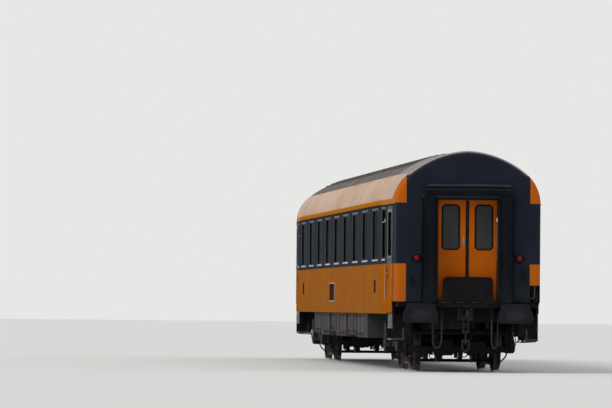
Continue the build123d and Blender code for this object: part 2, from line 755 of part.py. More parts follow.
def end_door(side):
    """One rear sliding leaf and its pane; side is -1 for left, 1 for right."""
    back = END_INNER_X - LEAF_CLEAR - LEAF_T
    low = z_at(FLOOR_TOP_H) + LEAF_FLOOR_GAP
    high = z_at(DOORWAY_TOP_H) + LEAF_HEAD
    near = LEAF_GAP / 2
    leaf = block(back, back + LEAF_T, side * near, side * (near + LEAF_W), low, high)
    glass = leaf_window(back + LEAF_T / 4, back + LEAF_T * 3 / 4, side)
    return leaf - leaf_window(back, back + LEAF_T, side), glass


def bridge_plate():
    """Rear footplate, raised against the doorway on its hinge."""
    low = z_at(FLOOR_TOP_H) + PLATE_GAP
    outline = rounded_outline(2 * PLATE_HALF_W, PLATE_HEIGHT, [PLATE_CORNER_R, PLATE_CORNER_R, 0, 0])
    plate = extrude(Plane.YZ * outline, amount=PLATE_T)
    return Pos(BODY_END_X + PLATE_OUT, 0, low + PLATE_HEIGHT / 2) * plate


def buffer():
    """Left rear buffer: base, case, plunger and wide head."""
    y, z = -BUFFER_SPACING / 2, z_at(BUFFER_H)
    case_end = HEADSTOCK_X + BUFFER_CASE_L
    head_x = BUFFER_FACE_X - BUFFER_HEAD_T
    base = block(HEADSTOCK_X, HEADSTOCK_X + BUFFER_BASE_T, y - BUFFER_BASE_HALF_W, y + BUFFER_BASE_HALF_W,
                 z - BUFFER_BASE_DOWN, z + BUFFER_BASE_UP)
    case = bar((HEADSTOCK_X, y, z), (case_end, y, z), BUFFER_CASE_R, DRUM_SIDES)
    plunger = bar((case_end, y, z), (head_x, y, z), BUFFER_PLUNGER_R, DRUM_SIDES)
    w, top, tall, cut = BUFFER_HEAD_W / 2, BUFFER_TOP_W / 2, BUFFER_HEAD_TALL / 2, BUFFER_CORNER
    right = [(w - cut, -tall), (w, cut - tall), (w, 0), (top + cut, tall - cut), (top, tall)]
    outline = Polyline(*right, *[(-across, up) for across, up in reversed(right)], close=True)
    head = extrude(Plane.YZ * make_face(outline), amount=BUFFER_HEAD_T)
    return fuse(base, case, plunger, Pos(head_x, y, z) * head)


def draw_hook():
    """Rear draw hook: plate, shank with the pin's bore, and upright nose."""
    x, z = HEADSTOCK_X, z_at(HOOK_H)
    # distance from the headstock, height from the shank's middle
    side_view = [
        (0, -35), (210, -35), (250, -75), (400, -75), (430, -30), (430, 70), (395, 108), (365, 70),
        (365, 28), (345, 6), (310, 6), (290, 28), (280, 60), (235, 60), (205, 35), (0, 35),
    ]
    profile = make_face(Polyline(*[(x + out, z + up) for out, up in side_view], close=True))
    hook = extrude(Plane.XZ * profile, amount=HOOK_T / 2, both=True)
    bore_r = (PIN_R + PIN_CLEAR) / math.cos(math.pi / DRUM_SIDES)
    hook -= bar((x + PIN_OUT, -HOOK_T, z), (x + PIN_OUT, HOOK_T, z), bore_r, DRUM_SIDES)
    return hook + block(x, x + 22, -150, 150, z - 120, z + 120)


def screw_coupling():
    """Rear screw coupling, hanging from the draw hook's pin."""
    x, z = HEADSTOCK_X + PIN_OUT, z_at(HOOK_H)
    cheek = HOOK_T / 2 + HOOK_CLEAR
    parts = [bar((x, -cheek - LINK_T, z), (x, cheek + LINK_T, z), PIN_R, DRUM_SIDES)]
    for side in (-1, 1):
        parts.append(block(x - 28, x + 28, side * cheek, side * (cheek + LINK_T), z - LINK_L - 30, z + 32))
        parts.append(bar((x, side * BOW_Y, z - BOW_END), (x, side * BOW_Y, z - NUT_DOWN), BOW_R))
    parts.append(bar((x, -cheek - LINK_T, z - LINK_L), (x, cheek + LINK_T, z - LINK_L), 24))
    parts.append(bar((x, 0, z - NUT_DOWN - 70), (x, 0, z - LINK_L + 20), 23))
    parts.append(block(x - 36, x + 36, -BOW_Y - 12, BOW_Y + 12, z - NUT_DOWN - 50, z - NUT_DOWN + 10))
    parts.append(bar((x, -BOW_Y - BOW_R, z - BOW_END), (x, BOW_Y + BOW_R, z - BOW_END), BOW_R))
    return fuse(*parts)


def tail_lamp(side):
    """Round lamp case with its lens on the rear end wall."""
    y, z = side * LAMP_Y, z_at(LAMP_H)
    case_x, lens_x = BODY_END_X + LAMP_T, BODY_END_X + LAMP_T + LENS_T
    case = bar((BODY_END_X, y, z), (case_x, y, z), LAMP_R, DRUM_SIDES)
    return case + bar((case_x, y, z), (lens_x, y, z), LENS_R, BAR_SIDES)


# Brake hoses. Each hangs in a loop from its cock on the headstock and returns to a
# holder under the end platform.

def hose_route():
    """Rear left hose: points from the cock, down, round the bottom and up again."""
    # distance along the loop's plane, height from the rail head
    side_view = [
        (0, HOSE_TOP_H), (0, 860), (5, 700), (0, 520),
        (55, 444), (144, 415), (234, 444),
        (HOSE_WIDTH, 520), (294, 700), (HOSE_WIDTH, 860), (HOSE_WIDTH, HOSE_TOP_H),
    ]
    turn = math.radians(HOSE_TURN_DEG)
    x, y = HEADSTOCK_X + HOSE_OUT, -HOSE_Y
    return [(x + s * math.cos(turn), y + s * math.sin(turn), z_at(h)) for s, h in side_view]


def hose():
    """Rear left hose: a plain tube with flat sides and mitred bends along its route."""
    path = Polyline(*hose_route())
    tube = sweep(Plane(path @ 0, z_dir=path % 0) * RegularPolygon(HOSE_R, HOSE_SIDES), path=path,
                 transition=Transition.RIGHT)
    print("hose length", round(path.length), "volume over section", round(tube.volume / HOSE_SECTION))
    return tube


def hose_fittings():
    """Rear left cock on the headstock and the holder that takes the other end."""
    start, end = hose_route()[0], hose_route()[-1]
    cock = block(HEADSTOCK_X, start[0] + 30, start[1] - 35, start[1] + 35, start[2], start[2] + 70)
    holder = block(end[0] - 30, end[0] + 30, end[1] - 30, end[1] + 30, end[2], z_at(FLOOR_TOP_H - FLOOR_T))
    return [cock, holder]


def end_sockets():
    """Two electric sockets on the rear end wall, one on each side of the gangway."""
    sockets = []
    for y, height in SOCKET_PLACES:
        sockets.append(bar((BODY_END_X, y, z_at(height)), (BODY_END_X + SOCKET_T, y, z_at(height)), SOCKET_R))
    return sockets


def grab_handle():
    """Shunter's handle in the notch of the rear end's right corner."""
    x, top = BODY_END_X - END_WALL_T / 2, z_at(NOTCH_TOP_H)
    path = Polyline((x, HANDLE_Y, top), (x, HANDLE_Y, z_at(HANDLE_LOW_H)), (x, NOTCH_Y, z_at(HANDLE_LOW_H)))
    return sweep(Plane(path @ 0, z_dir=path % 0) * RegularPolygon(HANDLE_R, BAR_SIDES), path=path,
                 transition=Transition.RIGHT)


def side_signs():
    """Left destination display and the small displays near the ends."""
    face = -BODY_HALF_WIDTH
    signs = [block(SIGN_X - SIGN_W / 2, SIGN_X + SIGN_W / 2, face - SIGN_PROUD, face,
                   z_at(SIGN_LOW_H), z_at(SIGN_HIGH_H))]
    for x in (-SMALL_SIGN_X, SMALL_SIGN_X):
        signs.append(block(x - SMALL_SIGN_W / 2, x + SMALL_SIGN_W / 2, face - SIGN_PROUD, face,
                           z_at(SMALL_SIGN_LOW_H), z_at(SMALL_SIGN_HIGH_H)))
    return signs


# Under the floor

def equipment_cases():
    """Rows of cases under the floor between the bogies, one row on each side."""
    # how the row is shared out, and how many steps higher and further in than the lowest one
    rows = {
        -1: ((1900, 1), (2500, 0), (1500, 2), (2700, 0), (2300, 1), (2650, 0)),
        1: ((2650, 0), (2100, 2), (3000, 0), (1700, 1), (2400, 0), (1700, 2)),
    }
    top = z_at(SIDE_BOTTOM_H - CASE_TOP_GAP)
    cases = []
    for side, row in rows.items():
        share = (2 * CASES_END_X - (len(row) - 1) * CASE_GAP) / sum(part for part, up in row)
        start = -CASES_END_X
        for part, up in row:
            end = start + part * share
            outer = BODY_HALF_WIDTH - CASE_SIDE - up * CASE_STEP / 4
            case = block(start, end, side * CASE_INNER_Y, side * outer, z_at(CASE_LOW_H + up * CASE_STEP), top)
            cases.append(case + block(start + CASE_CARRIER, end - CASE_CARRIER, side * CARRIER_Y0,
                                      side * CARRIER_Y1, top, z_at(BEARER_H)))
            start = end + CASE_GAP
    return cases


def air_tanks():
    """Two air reservoirs along the middle, hung from the floor by straps."""
    tanks = []
    z = z_at(TANK_H)
    for side in (-1, 1):
        x0 = (side * TANK_APART - TANK_L) / 2
        tank = bar((x0, 0, z), (x0 + TANK_L, 0, z), TANK_R, DRUM_SIDES)
        for strap in (x0 + STRAP_IN, x0 + TANK_L - STRAP_IN):
            tank += block(strap - STRAP_W / 2, strap + STRAP_W / 2, -STRAP_HALF_L, STRAP_HALF_L, z, z_at(BEARER_H))
        tanks.append(tank)
    return tanks


# Bogies, made about their own pivot and moved to their place

def bogie_frame():
    """Two dropped side sills joined by two cross beams and end brackets."""
    low, high, deep = z_at(SILL_LOW_H), z_at(SILL_HIGH_H), SILL_DEPTH
    outline = Polyline((-SILL_END_X, high - deep), (-850, high - deep), (-620, low - deep), (620, low - deep),
                       (850, high - deep), (SILL_END_X, high - deep), (SILL_END_X, high), (800, high),
                       (560, low), (-560, low), (-800, high), (-SILL_END_X, high), close=True)
    sill = extrude(Pos(0, -SILL_Y, 0) * (Plane.XZ * make_face(outline)), amount=SILL_W / 2, both=True)
    parts = on_both_sides(sill)
    for x in (-BEAM_X, BEAM_X):
        parts.append(block(x - BEAM_HALF_W, x + BEAM_HALF_W, -SILL_Y, SILL_Y, low - deep,
                           low - BEAM_DROP))
    return fuse(*parts)


def bogie_bolster():
    """Cross beam on the four main springs, with the pivot's bore."""
    top = z_at(BOLSTER_TOP_H)
    beam = block(-BOLSTER_HALF_L, BOLSTER_HALF_L, -BOLSTER_HALF_W, BOLSTER_HALF_W, top - BOLSTER_DEPTH, top)
    bore_r = (PIVOT_R + PIVOT_CLEAR) / math.cos(math.pi / DRUM_SIDES)
    return beam - bar((0, 0, top - BOLSTER_DEPTH - 1), (0, 0, top + 1), bore_r, DRUM_SIDES)


def bogie_springs():
    """Main springs under the bolster, and a spring and a damper for each axle box."""
    springs = []
    for side in (-1, 1):
        for x in (-MAIN_SPRING_X, MAIN_SPRING_X):
            springs.append(bar((x, side * SILL_Y, z_at(SILL_LOW_H)),
                               (x, side * SILL_Y, z_at(BOLSTER_TOP_H) - BOLSTER_DEPTH), MAIN_SPRING_R))
        for end in (-1, 1):
            x = end * WHEELBASE / 2
            springs.append(bar((x, side * SILL_Y, z_at(WHEEL_R) + BOX_UP),
                               (x, side * SILL_Y, z_at(SILL_HIGH_H - SILL_DEPTH)), SPRING_R))
            x = end * DAMPER_X
            damper = bar((x, side * DAMPER_Y, z_at(WHEEL_R)), (x, side * DAMPER_Y, z_at(SILL_HIGH_H)), DAMPER_R,
                         DAMPER_SIDES)
            for height, face in ((WHEEL_R, SILL_Y + ARM_HALF_W), (SILL_HIGH_H - SILL_DEPTH / 2, SILL_Y + SILL_W / 2)):
                damper += block(x - DAMPER_R, x + DAMPER_R, side * face, side * DAMPER_Y,
                                z_at(height), z_at(height) + DAMPER_R)
            springs.append(damper)
    return springs


def axle_boxes():
    """Four axle boxes, each with its round cover and its arm towards the bogie's middle."""
    boxes = []
    z = z_at(WHEEL_R)
    outer = -SILL_Y - BOX_OUTER
    bore_r = (AXLE_R + BOX_CLEAR) / math.cos(math.pi / BAR_SIDES)
    for end in (-1, 1):
        x = end * WHEELBASE / 2
        box = block(x - BOX_HALF_L, x + BOX_HALF_L, outer, -SILL_Y + BOX_INNER, z - BOX_DOWN, z + BOX_UP)
        arm = block(x, end * ARM_END_X, -SILL_Y - ARM_HALF_W, -SILL_Y + ARM_HALF_W, z - ARM_DOWN, z + ARM_UP)
        bore = bar((x, -JOURNAL_END_Y - 2 * BOX_CLEAR, z), (x, 0, z), bore_r)
        cover = bar((x, outer, z), (x, outer - COVER_T, z), COVER_R)
        boxes += on_both_sides(box + arm + cover - bore)
    return boxes


def brake_gear():
    """Track brake magnets with cross ties, and the disc brake callipers."""
    magnets = []
    low, high = z_at(MAGNET_LOW_H), z_at(MAGNET_HIGH_H)
    for side in (-1, 1):
        y, half, hanger = side * MAGNET_Y, MAGNET_W / 2, MAGNET_HANGER_W / 2
        magnets.append(block(-MAGNET_L / 2, MAGNET_L / 2, y - half, y + half, low, high))
        for x in (-BEAM_X, BEAM_X):
            magnets.append(block(x - hanger, x + hanger, y - hanger, y + hanger, high, z_at(SILL_LOW_H - SILL_DEPTH)))
    for x in (-MAGNET_TIE_X, MAGNET_TIE_X):
        magnets.append(block(x - MAGNET_TIE_W / 2, x + MAGNET_TIE_W / 2, -MAGNET_Y, MAGNET_Y,
                             (low + high - MAGNET_TIE_W) / 2, (low + high + MAGNET_TIE_W) / 2))
    parts = [fuse(*magnets)]
    low, high = z_at(WHEEL_R) - CHEEK_DOWN, z_at(WHEEL_R) + CHEEK_UP
    for end in (-1, 1):
        for side in (-1, 1):
            y = side * DISC_Y
            inner, outer = DISC_T / 2 + CHEEK_GAP, DISC_T / 2 + CHEEK_GAP + CHEEK_T
            arms = [block(end * CHEEK_ROOT_X, end * (CHEEK_X0 + CHEEK_LAP), y - outer, y + outer, low, high)]
            for cheek in (-1, 1):
                arms.append(block(end * CHEEK_X0, end * CHEEK_X1, y + cheek * inner, y + cheek * outer, low, high))
            parts.append(fuse(*arms))
    return parts


def wheel():
    """Left wheel about its own centre: flange and rim, thin web and hub."""
    back = -WHEEL_BACK_TO_BACK / 2
    root, front = back - FLANGE_W, back - RIM_WIDTH
    rim = drum(front, root, WHEEL_R, WHEEL_SIDES) + drum(root, back, WHEEL_R, WHEEL_SIDES, WHEEL_R + FLANGE_DEPTH)
    rim -= drum(front - 1, back + 1, WHEEL_R - RIM_DEPTH, RIM_SIDES)
    web = drum(back - WEB_IN - WEB_T, back - WEB_IN, WHEEL_R - RIM_DEPTH, RIM_SIDES)
    hub = drum(front - HUB_PROUD, back + HUB_PROUD, HUB_R, DRUM_SIDES)
    return fuse(rim, web, hub)


def wheelset():
    """Axle with two wheels and two brake discs."""
    axle = drum(-JOURNAL_END_Y, JOURNAL_END_Y, AXLE_R * math.cos(math.pi / BAR_SIDES), BAR_SIDES)
    disc = drum(-DISC_Y - DISC_T / 2, -DISC_Y + DISC_T / 2, DISC_R, DISC_SIDES)
    return Pos(0, 0, z_at(WHEEL_R)) * fuse(axle, *on_both_sides(wheel()), *on_both_sides(disc))


# Interior

def cross_walls():
    """Walls between compartments, from the window side to the corridor wall."""
    reach = BODY_HALF_WIDTH - WALL_T - WALL_SCRIBE
    walls = []
    for index in range(WINDOW_COUNT + 1):
        x = (index - WINDOW_COUNT / 2) * WINDOW_PITCH
        walls.append(block(x - PARTITION_T / 2, x + PARTITION_T / 2, -reach, CORRIDOR_Y,
                           z_at(FLOOR_TOP_H), z_at(CEILING_H)))
    return walls


def corridor_wall():
    """Wall along the corridor with a doorway for each compartment."""
    low, high = z_at(FLOOR_TOP_H), z_at(CEILING_H)
    half = WINDOW_COUNT / 2 * WINDOW_PITCH + PARTITION_T / 2
    wall = block(-half, half, CORRIDOR_Y, CORRIDOR_Y + PARTITION_T, low, high)
    for index in range(WINDOW_COUNT):
        x = (index - (WINDOW_COUNT - 1) / 2) * WINDOW_PITCH
        wall -= block(x - COMPARTMENT_DOOR_W / 2, x + COMPARTMENT_DOOR_W / 2,
                      CORRIDOR_Y - 1, CORRIDOR_Y + PARTITION_T + 1, low, high - COMPARTMENT_DOOR_HEAD)
    return wall


def vestibule_wall():
    """Rear wall between the vestibule and the washroom, with the washroom's corridor side."""
    inner_x = WINDOW_COUNT / 2 * WINDOW_PITCH + PARTITION_T
    window_side = half_width_at(VESTIBULE_X) - WALL_T - WALL_SCRIBE
    outline = [(VESTIBULE_X, -window_side), (VESTIBULE_X, CORRIDOR_Y), (inner_x, CORRIDOR_Y),
               (inner_x, CORRIDOR_Y - PARTITION_T), (VESTIBULE_X - PARTITION_T, CORRIDOR_Y - PARTITION_T),
               (VESTIBULE_X - PARTITION_T, -window_side)]
    return plan_prism(outline, z_at(FLOOR_TOP_H), z_at(CEILING_H))


def ceiling():
    """Flat ceiling on top of the partitions."""
    return block(-END_INNER_X + CEILING_END, END_INNER_X - CEILING_END, -CEILING_HALF_W, CEILING_HALF_W,
                 z_at(CEILING_H), z_at(CEILING_H + CEILING_T))


def seat_benches():
    """Two benches in each compartment, face to face."""
    low = z_at(FLOOR_TOP_H)
    seat, top = z_at(SEAT_TOP_H), z_at(SEAT_BACK_TOP_H)
    half = WINDOW_PITCH / 2 - PARTITION_T / 2
    front = half - SEAT_BACK_T - SEAT_DEPTH
    outline = Polyline((half, low), (half, top), (half - SEAT_BACK_T, top), (half - SEAT_BACK_T - SEAT_LEAN, seat),
                       (front, seat), (front, seat - SEAT_T), (half - SEAT_FOOT, low), close=True)
    window_side, door_side = BODY_HALF_WIDTH - WALL_T - SEAT_SIDE, CORRIDOR_Y - SEAT_SIDE
    bench = extrude(Plane.XZ * make_face(outline), amount=window_side + door_side, dir=(0, -1, 0))
    bench = Pos(0, door_side, 0) * bench
    benches = []
    for index in range(WINDOW_COUNT):
        x = (index - (WINDOW_COUNT - 1) / 2) * WINDOW_PITCH
        benches.append(Pos(x, 0, 0) * bench)
        benches.append(Pos(x, 0, 0) * bench.mirror(Plane.YZ))
    return benches


def main():
    """Build every node and write its file."""
    os.makedirs("parts", exist_ok=True)
    wall = side_wall()
    save("side_wall_left", wall)
    save("side_wall_right", wall.mirror(Plane.XZ))
    save("vestibule_sides", *[s for part in at_both_ends(vestibule_side()) for s in on_both_sides(part)])
    save("roof_sheet", ribbed_roof())
    save("roof_ends", *at_both_ends(roof_end()))
    save("cant_panels", *on_both_sides(cant_panel()))
    rear_wall, front_wall = at_both_ends(end_wall())
    save("end_wall_rear", rear_wall)
    save("end_wall_front", front_wall)
    save("floor_pan", floor_pan())
    save("centre_plates", *at_both_ends(centre_plate()))
    save("headstocks", *at_both_ends(headstock()))
    save("window_frames", *[s for frame in side_window_frames() for s in on_both_sides(frame)])

    door_glass = door_window(DOOR_GLASS_IN, GLASS_T)
    panes = side_window_panes() + [door_glass, door_glass.mirror(Plane.YZ)]
    save("window_glass", *[s for pane in panes for s in on_both_sides(pane)])
    save("entrance_doors", *[s for leaf in at_both_ends(entrance_door()) for s in on_both_sides(leaf)])
    save("entrance_steps", *[s for step in at_both_ends(entrance_steps()) for s in on_both_sides(step)])

    feet = on_both_sides(gangway_foot())
    save("gangway_tubes", *[s for tube in gangway_tubes() + feet for s in at_both_ends(tube)])
    for side, hand in ((-1, "left"), (1, "right")):
        leaf, glass = end_door(side)
        other = "right" if hand == "left" else "left"
        save(f"end_door_rear_{hand}", leaf)
        save(f"end_glass_rear_{hand}", glass)
        save(f"end_door_front_{other}", leaf.rotate(Axis.Z, 180))
        save(f"end_glass_front_{other}", glass.rotate(Axis.Z, 180))
    for name, shape in (("bridge_plate", bridge_plate()), ("screw_coupling", screw_coupling())):
        rear, front = at_both_ends(shape)
        save(f"{name}_rear", rear)
        save(f"{name}_front", front)
    save("buffers", *[s for part in on_both_sides(buffer()) for s in at_both_ends(part)])
    save("draw_hooks", *at_both_ends(draw_hook()))
    save("tail_lamps", *[s for side in (-1, 1) for s in at_both_ends(tail_lamp(side))])

    left_hose = hose()
    for hand, shape in (("left", left_hose), ("right", left_hose.mirror(Plane.XZ))):
        rear, front = at_both_ends(shape)
        save(f"brake_hose_rear_{hand}", rear)
        save(f"brake_hose_front_{'right' if hand == 'left' else 'left'}", front)
    fittings = [s for part in hose_fittings() + [plate_hinge()] for s in on_both_sides(part)]
    fittings += end_sockets() + [door_track()]
    save("end_fittings", *[s for part in fittings for s in at_both_ends(part)])
    save("grab_handles", *at_both_ends(grab_handle()))
    save("side_signs", *[s for part in side_signs() for s in at_both_ends(part)])

    save("equipment_cases", *equipment_cases())
    save("air_tanks", *air_tanks())
    save("cross_walls", *cross_walls())
    save("corridor_wall", corridor_wall())
    save("ceiling", ceiling())
    rear_partition = vestibule_wall()
    save("vestibule_walls", rear_partition, rear_partition.mirror(Plane.YZ))
    save("seat_benches", *seat_benches())

    bogie_nodes = {
        "bogie_frame": [bogie_frame(), bogie_bolster()],
        "bogie_springs": bogie_springs(),
        "axle_boxes": axle_boxes(),
        "brake_gear": brake_gear(),
    }
    for end, place in (("rear", BOGIE_X), ("front", -BOGIE_X)):
        for name, shapes in bogie_nodes.items():
            save(f"{name}_{end}", *[Pos(place, 0, 0) * shape for shape in shapes])
    axles = [side * BOGIE_X + half for side in (1, -1) for half in (WHEELBASE / 2, -WHEELBASE / 2)]
    for number, x in enumerate(axles, 1):
        save(f"wheelset_{number}", Pos(x, 0, 0) * wheelset())


main()
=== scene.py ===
"""Looks of a long-distance passenger coach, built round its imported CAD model."""

import json
import logging
import math
from dataclasses import dataclass, field, replace
from enum import Enum
from typing import Callable

import bmesh
import bpy
import numpy as np
from mathutils import Matrix, Vector


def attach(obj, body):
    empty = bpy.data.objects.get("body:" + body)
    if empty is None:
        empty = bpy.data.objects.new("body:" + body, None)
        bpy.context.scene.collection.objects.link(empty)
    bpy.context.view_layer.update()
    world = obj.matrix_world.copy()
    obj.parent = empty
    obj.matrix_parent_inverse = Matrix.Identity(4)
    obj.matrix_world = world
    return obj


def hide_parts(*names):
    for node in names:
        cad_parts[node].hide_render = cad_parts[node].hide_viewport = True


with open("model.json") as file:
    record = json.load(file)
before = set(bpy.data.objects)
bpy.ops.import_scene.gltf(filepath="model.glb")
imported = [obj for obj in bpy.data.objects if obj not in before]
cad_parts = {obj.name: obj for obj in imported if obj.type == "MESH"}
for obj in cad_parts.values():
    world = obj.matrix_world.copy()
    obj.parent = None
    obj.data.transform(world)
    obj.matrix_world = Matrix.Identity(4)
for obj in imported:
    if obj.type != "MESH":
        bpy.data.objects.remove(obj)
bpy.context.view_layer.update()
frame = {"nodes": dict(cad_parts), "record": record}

LOG = logging.getLogger("coach")

Colour = tuple[float, float, float]
Socket = bpy.types.NodeSocket

RAIL_TOP = 0.028          # rail head above the flange tips, where z is 0
BODY_END = 13.05
END_INNER = 12.93
HEADSTOCK = 12.58
TAPER_START = 10.8
TAPER = 0.0725 / 2.25
HALF_WIDTH = 1.4125
SILL_LOW = 1.27 + RAIL_TOP
BAND_LOW = 1.965 + RAIL_TOP
BAND_HIGH = 3.075 + RAIL_TOP
STRIP_HIGH = 3.15 + RAIL_TOP
NOTCH_Y = 1.14
BAY = 2.38                # pitch of windows and compartments
BAYS = 9
BOGIE_X = 9.5
HALF_BASE = 1.28
WHEEL_Z = 0.445 + RAIL_TOP
SIDES = (-1, 1)


def chart(red: float, green: float, blue: float) -> Colour:
    """Linear colour of a paint chart's values from 0 to 255."""
    def linear(value: float) -> float:
        """One channel."""
        share = value / 255.0
        return share / 12.92 if share <= 0.04045 else ((share + 0.055) / 1.055) ** 2.4
    return (linear(red), linear(green), linear(blue))


def dimmed(colour: Colour, *factors: float) -> Colour:
    """A colour with each channel multiplied by its factor."""
    return tuple(part * factor for part, factor in zip(colour, factors))


class End(Enum):
    """The two ends of the coach; the value is the sign of x there."""

    REAR = 1
    FRONT = -1

    @property
    def word(self) -> str:
        """The end's name in node names."""
        return self.name.lower()


# Finishes

class Sheet:
    """A node tree that is being filled in."""

    def __init__(self, tree: bpy.types.NodeTree) -> None:
        """Keep the tree and its links."""
        self.tree = tree

    def node(self, kind: str, **settings: object) -> bpy.types.Node:
        """Add a node and set its own settings."""
        made = self.tree.nodes.new(kind)
        for name, value in settings.items():
            setattr(made, name, value)
        return made

    def feed(self, target: Socket, value: object) -> None:
        """Link a socket to a target, or set the target's own value.

        Args:
            target: the input socket.
            value: an output socket, a number, or a colour of three numbers.
        """
        if isinstance(value, Socket):
            self.tree.links.new(value, target)
        elif isinstance(value, tuple) and target.type == "RGBA":
            target.default_value = (*value[:3], 1.0)
        else:
            target.default_value = value

    def math(self, operation: str, first: object, second: object = 0.0, clamp: bool = False) -> Socket:
        """A Math node's result."""
        made = self.node("ShaderNodeMath", operation=operation, use_clamp=clamp)
        self.feed(made.inputs[0], first)
        self.feed(made.inputs[1], second)
        return made.outputs[0]

    def times(self, first: object, second: object, clamp: bool = False) -> Socket:
        """The product of two values."""
        return self.math("MULTIPLY", first, second, clamp)

    def plus(self, first: object, second: object, clamp: bool = False) -> Socket:
        """The sum of two values."""
        return self.math("ADD", first, second, clamp)

    def minus(self, first: object, second: object) -> Socket:
        """The difference of two values."""
        return self.math("SUBTRACT", first, second)

    def size(self, value: object) -> Socket:
        """A value without its sign."""
        return self.math("ABSOLUTE", value)

    def step(self, value: object, low: float, high: float) -> Socket:
        """A smooth step from 0 at low to 1 at high."""
        made = self.node("ShaderNodeMapRange", interpolation_type="SMOOTHSTEP")
        self.feed(made.inputs["Value"], value)
        made.inputs["From Min"].default_value = low
        made.inputs["From Max"].default_value = high
        return made.outputs["Result"]

    def between(self, value: object, low: float, high: float, soft: float = 0.002) -> Socket:
        """A mask that is 1 between two values."""
        rise = self.step(value, low - soft, low + soft)
        fall = self.step(value, high - soft, high + soft)
        return self.math("SUBTRACT", rise, fall, clamp=True)

    def blend(self, share: object, first: object, second: object) -> Socket:
        """Colour that goes from the first to the second with the share."""
        made = self.node("ShaderNodeMix", data_type="RGBA")
        for index, value in ((0, share), (6, first), (7, second)):
            self.feed(made.inputs[index], value)
        return made.outputs[2]

    def place(self) -> Socket:
        """The point's place in the coach's frame, in metres."""
        return self.node("ShaderNodeTexCoord").outputs["Object"]

    def geometry(self, name: str) -> Socket:
        """One output of the Geometry node."""
        return self.node("ShaderNodeNewGeometry").outputs[name]

    def split(self, vector: Socket) -> tuple[Socket, ...]:
        """The three numbers of a vector."""
        made = self.node("ShaderNodeSeparateXYZ")
        self.feed(made.inputs[0], vector)
        return tuple(made.outputs)

    def noise(self, vector: object, scale: float, detail: float = 3.0, stretch: tuple = (1, 1, 1)) -> Socket:
        """Noise between 0 and 1 on a vector that may be stretched first."""
        mapping = self.node("ShaderNodeMapping")
        self.feed(mapping.inputs["Vector"], vector)
        mapping.inputs["Scale"].default_value = stretch
        made = self.node("ShaderNodeTexNoise")
        for name, value in (("Vector", mapping.outputs[0]), ("Scale", scale), ("Detail", detail)):
            self.feed(made.inputs[name], value)
        return made.outputs["Fac"]

    def bump(self, height: object, strength: float, distance: float) -> Socket:
        """A normal from a height."""
        made = self.node("ShaderNodeBump")
        for name, value in (("Height", height), ("Strength", strength), ("Distance", distance)):
            self.feed(made.inputs[name], value)
        return made.outputs["Normal"]


def dust(sheet: Sheet, inputs: dict) -> tuple[Socket, ...]:
    """Dust low on the coach and on faces that look up; a strong Upward makes it a painted highlight as well.
    """
    spot = sheet.place()
    low = sheet.math("DIVIDE", sheet.minus(inputs["Top"], sheet.split(spot)[2]), inputs["Fade"], True)
    up = sheet.math("MAXIMUM", sheet.split(sheet.geometry("Normal"))[2], 0.0)
    patchy = sheet.plus(sheet.noise(spot, inputs["Scale"], 5.0), 0.25)
    both = sheet.times(sheet.plus(low, sheet.times(up, inputs["Upward"])), patchy)
    return (sheet.times(both, inputs["Amount"], True),)


def streaks(sheet: Sheet, inputs: dict) -> tuple[Socket, ...]:
    """Marks of dirty water that ran down."""
    spot = sheet.place()
    thin = sheet.noise(spot, inputs["Scale"], 4.0, (1, 1, 0.06))
    wide = sheet.noise(spot, 0.9, 2.0, (1, 1, 0.3))
    mask = sheet.times(sheet.step(thin, 0.48, 0.68), sheet.step(wide, 0.35, 0.65))
    return (sheet.times(mask, inputs["Amount"], True),)


def grain(sheet: Sheet, inputs: dict) -> tuple[Socket, ...]:
    """Fine unevenness of a surface for bump, and a wide cloud for colour and gloss."""
    spot = sheet.place()
    return sheet.noise(spot, inputs["Scale"], 6.0), sheet.noise(spot, 1.7, 4.0)


def wear(sheet: Sheet, inputs: dict) -> tuple[Socket, ...]:
    """Paint rubbed thin along outward edges."""
    edge = sheet.step(sheet.geometry("Pointiness"), 0.56, 0.66)
    broken = sheet.step(sheet.noise(sheet.place(), inputs["Scale"], 5.0), 0.38, 0.62)
    return (sheet.times(sheet.times(edge, broken), inputs["Amount"], True),)


class Effect(Enum):
    """Shader node groups that more than one finish uses: what fills them, inputs and outputs."""

    SETTLED_DUST_AND_SHEEN = (dust, {"Amount": 0.5, "Top": 1.2, "Fade": 1.0, "Upward": 0.5, "Scale": 3.0}, ("Mask",))
    RAIN_STREAKS = (streaks, {"Amount": 0.4, "Scale": 9.0}, ("Mask",))
    FINE_GRAIN = (grain, {"Scale": 60.0}, ("Height", "Cloud"))
    EDGE_WEAR = (wear, {"Amount": 0.5, "Scale": 14.0}, ("Mask",))

    def group(self) -> bpy.types.NodeTree:
        """The effect's node group, built once."""
        name = self.name.lower()
        found = bpy.data.node_groups.get(name)
        if found:
            return found
        fill, inputs, outputs = self.value
        tree = bpy.data.node_groups.new(name, "ShaderNodeTree")
        for label, value in inputs.items():
            socket = tree.interface.new_socket(label, in_out="INPUT", socket_type="NodeSocketFloat")
            socket.default_value = value
        for label in outputs:
            tree.interface.new_socket(label, in_out="OUTPUT", socket_type="NodeSocketFloat")
        sheet = Sheet(tree)
        entry, out = sheet.node("NodeGroupInput"), sheet.node("NodeGroupOutput")
        for label, socket in zip(outputs, fill(sheet, entry.outputs)):
            sheet.feed(out.inputs[label], socket)
        return tree

    def use(self, sheet: Sheet, **values: float) -> bpy.types.bpy_prop_collection:
        """Place the effect in a material with its own values, and return its outputs."""
        made = sheet.node("ShaderNodeGroup")
        made.node_tree = self.group()
        for name, value in values.items():
            made.inputs[name].default_value = value
        return made.outputs


def material_once(name: str, fill: Callable[[Sheet, bpy.types.Node], None]) -> bpy.types.Material:
    """A material by its name; when it is new, fill gets its sheet and its Principled shader."""
    found = bpy.data.materials.get(name)
    if found:
        return found
    material = bpy.data.materials.new(name)
    material.use_nodes = True
    fill(Sheet(material.node_tree), material.node_tree.nodes["Principled BSDF"])
    return material


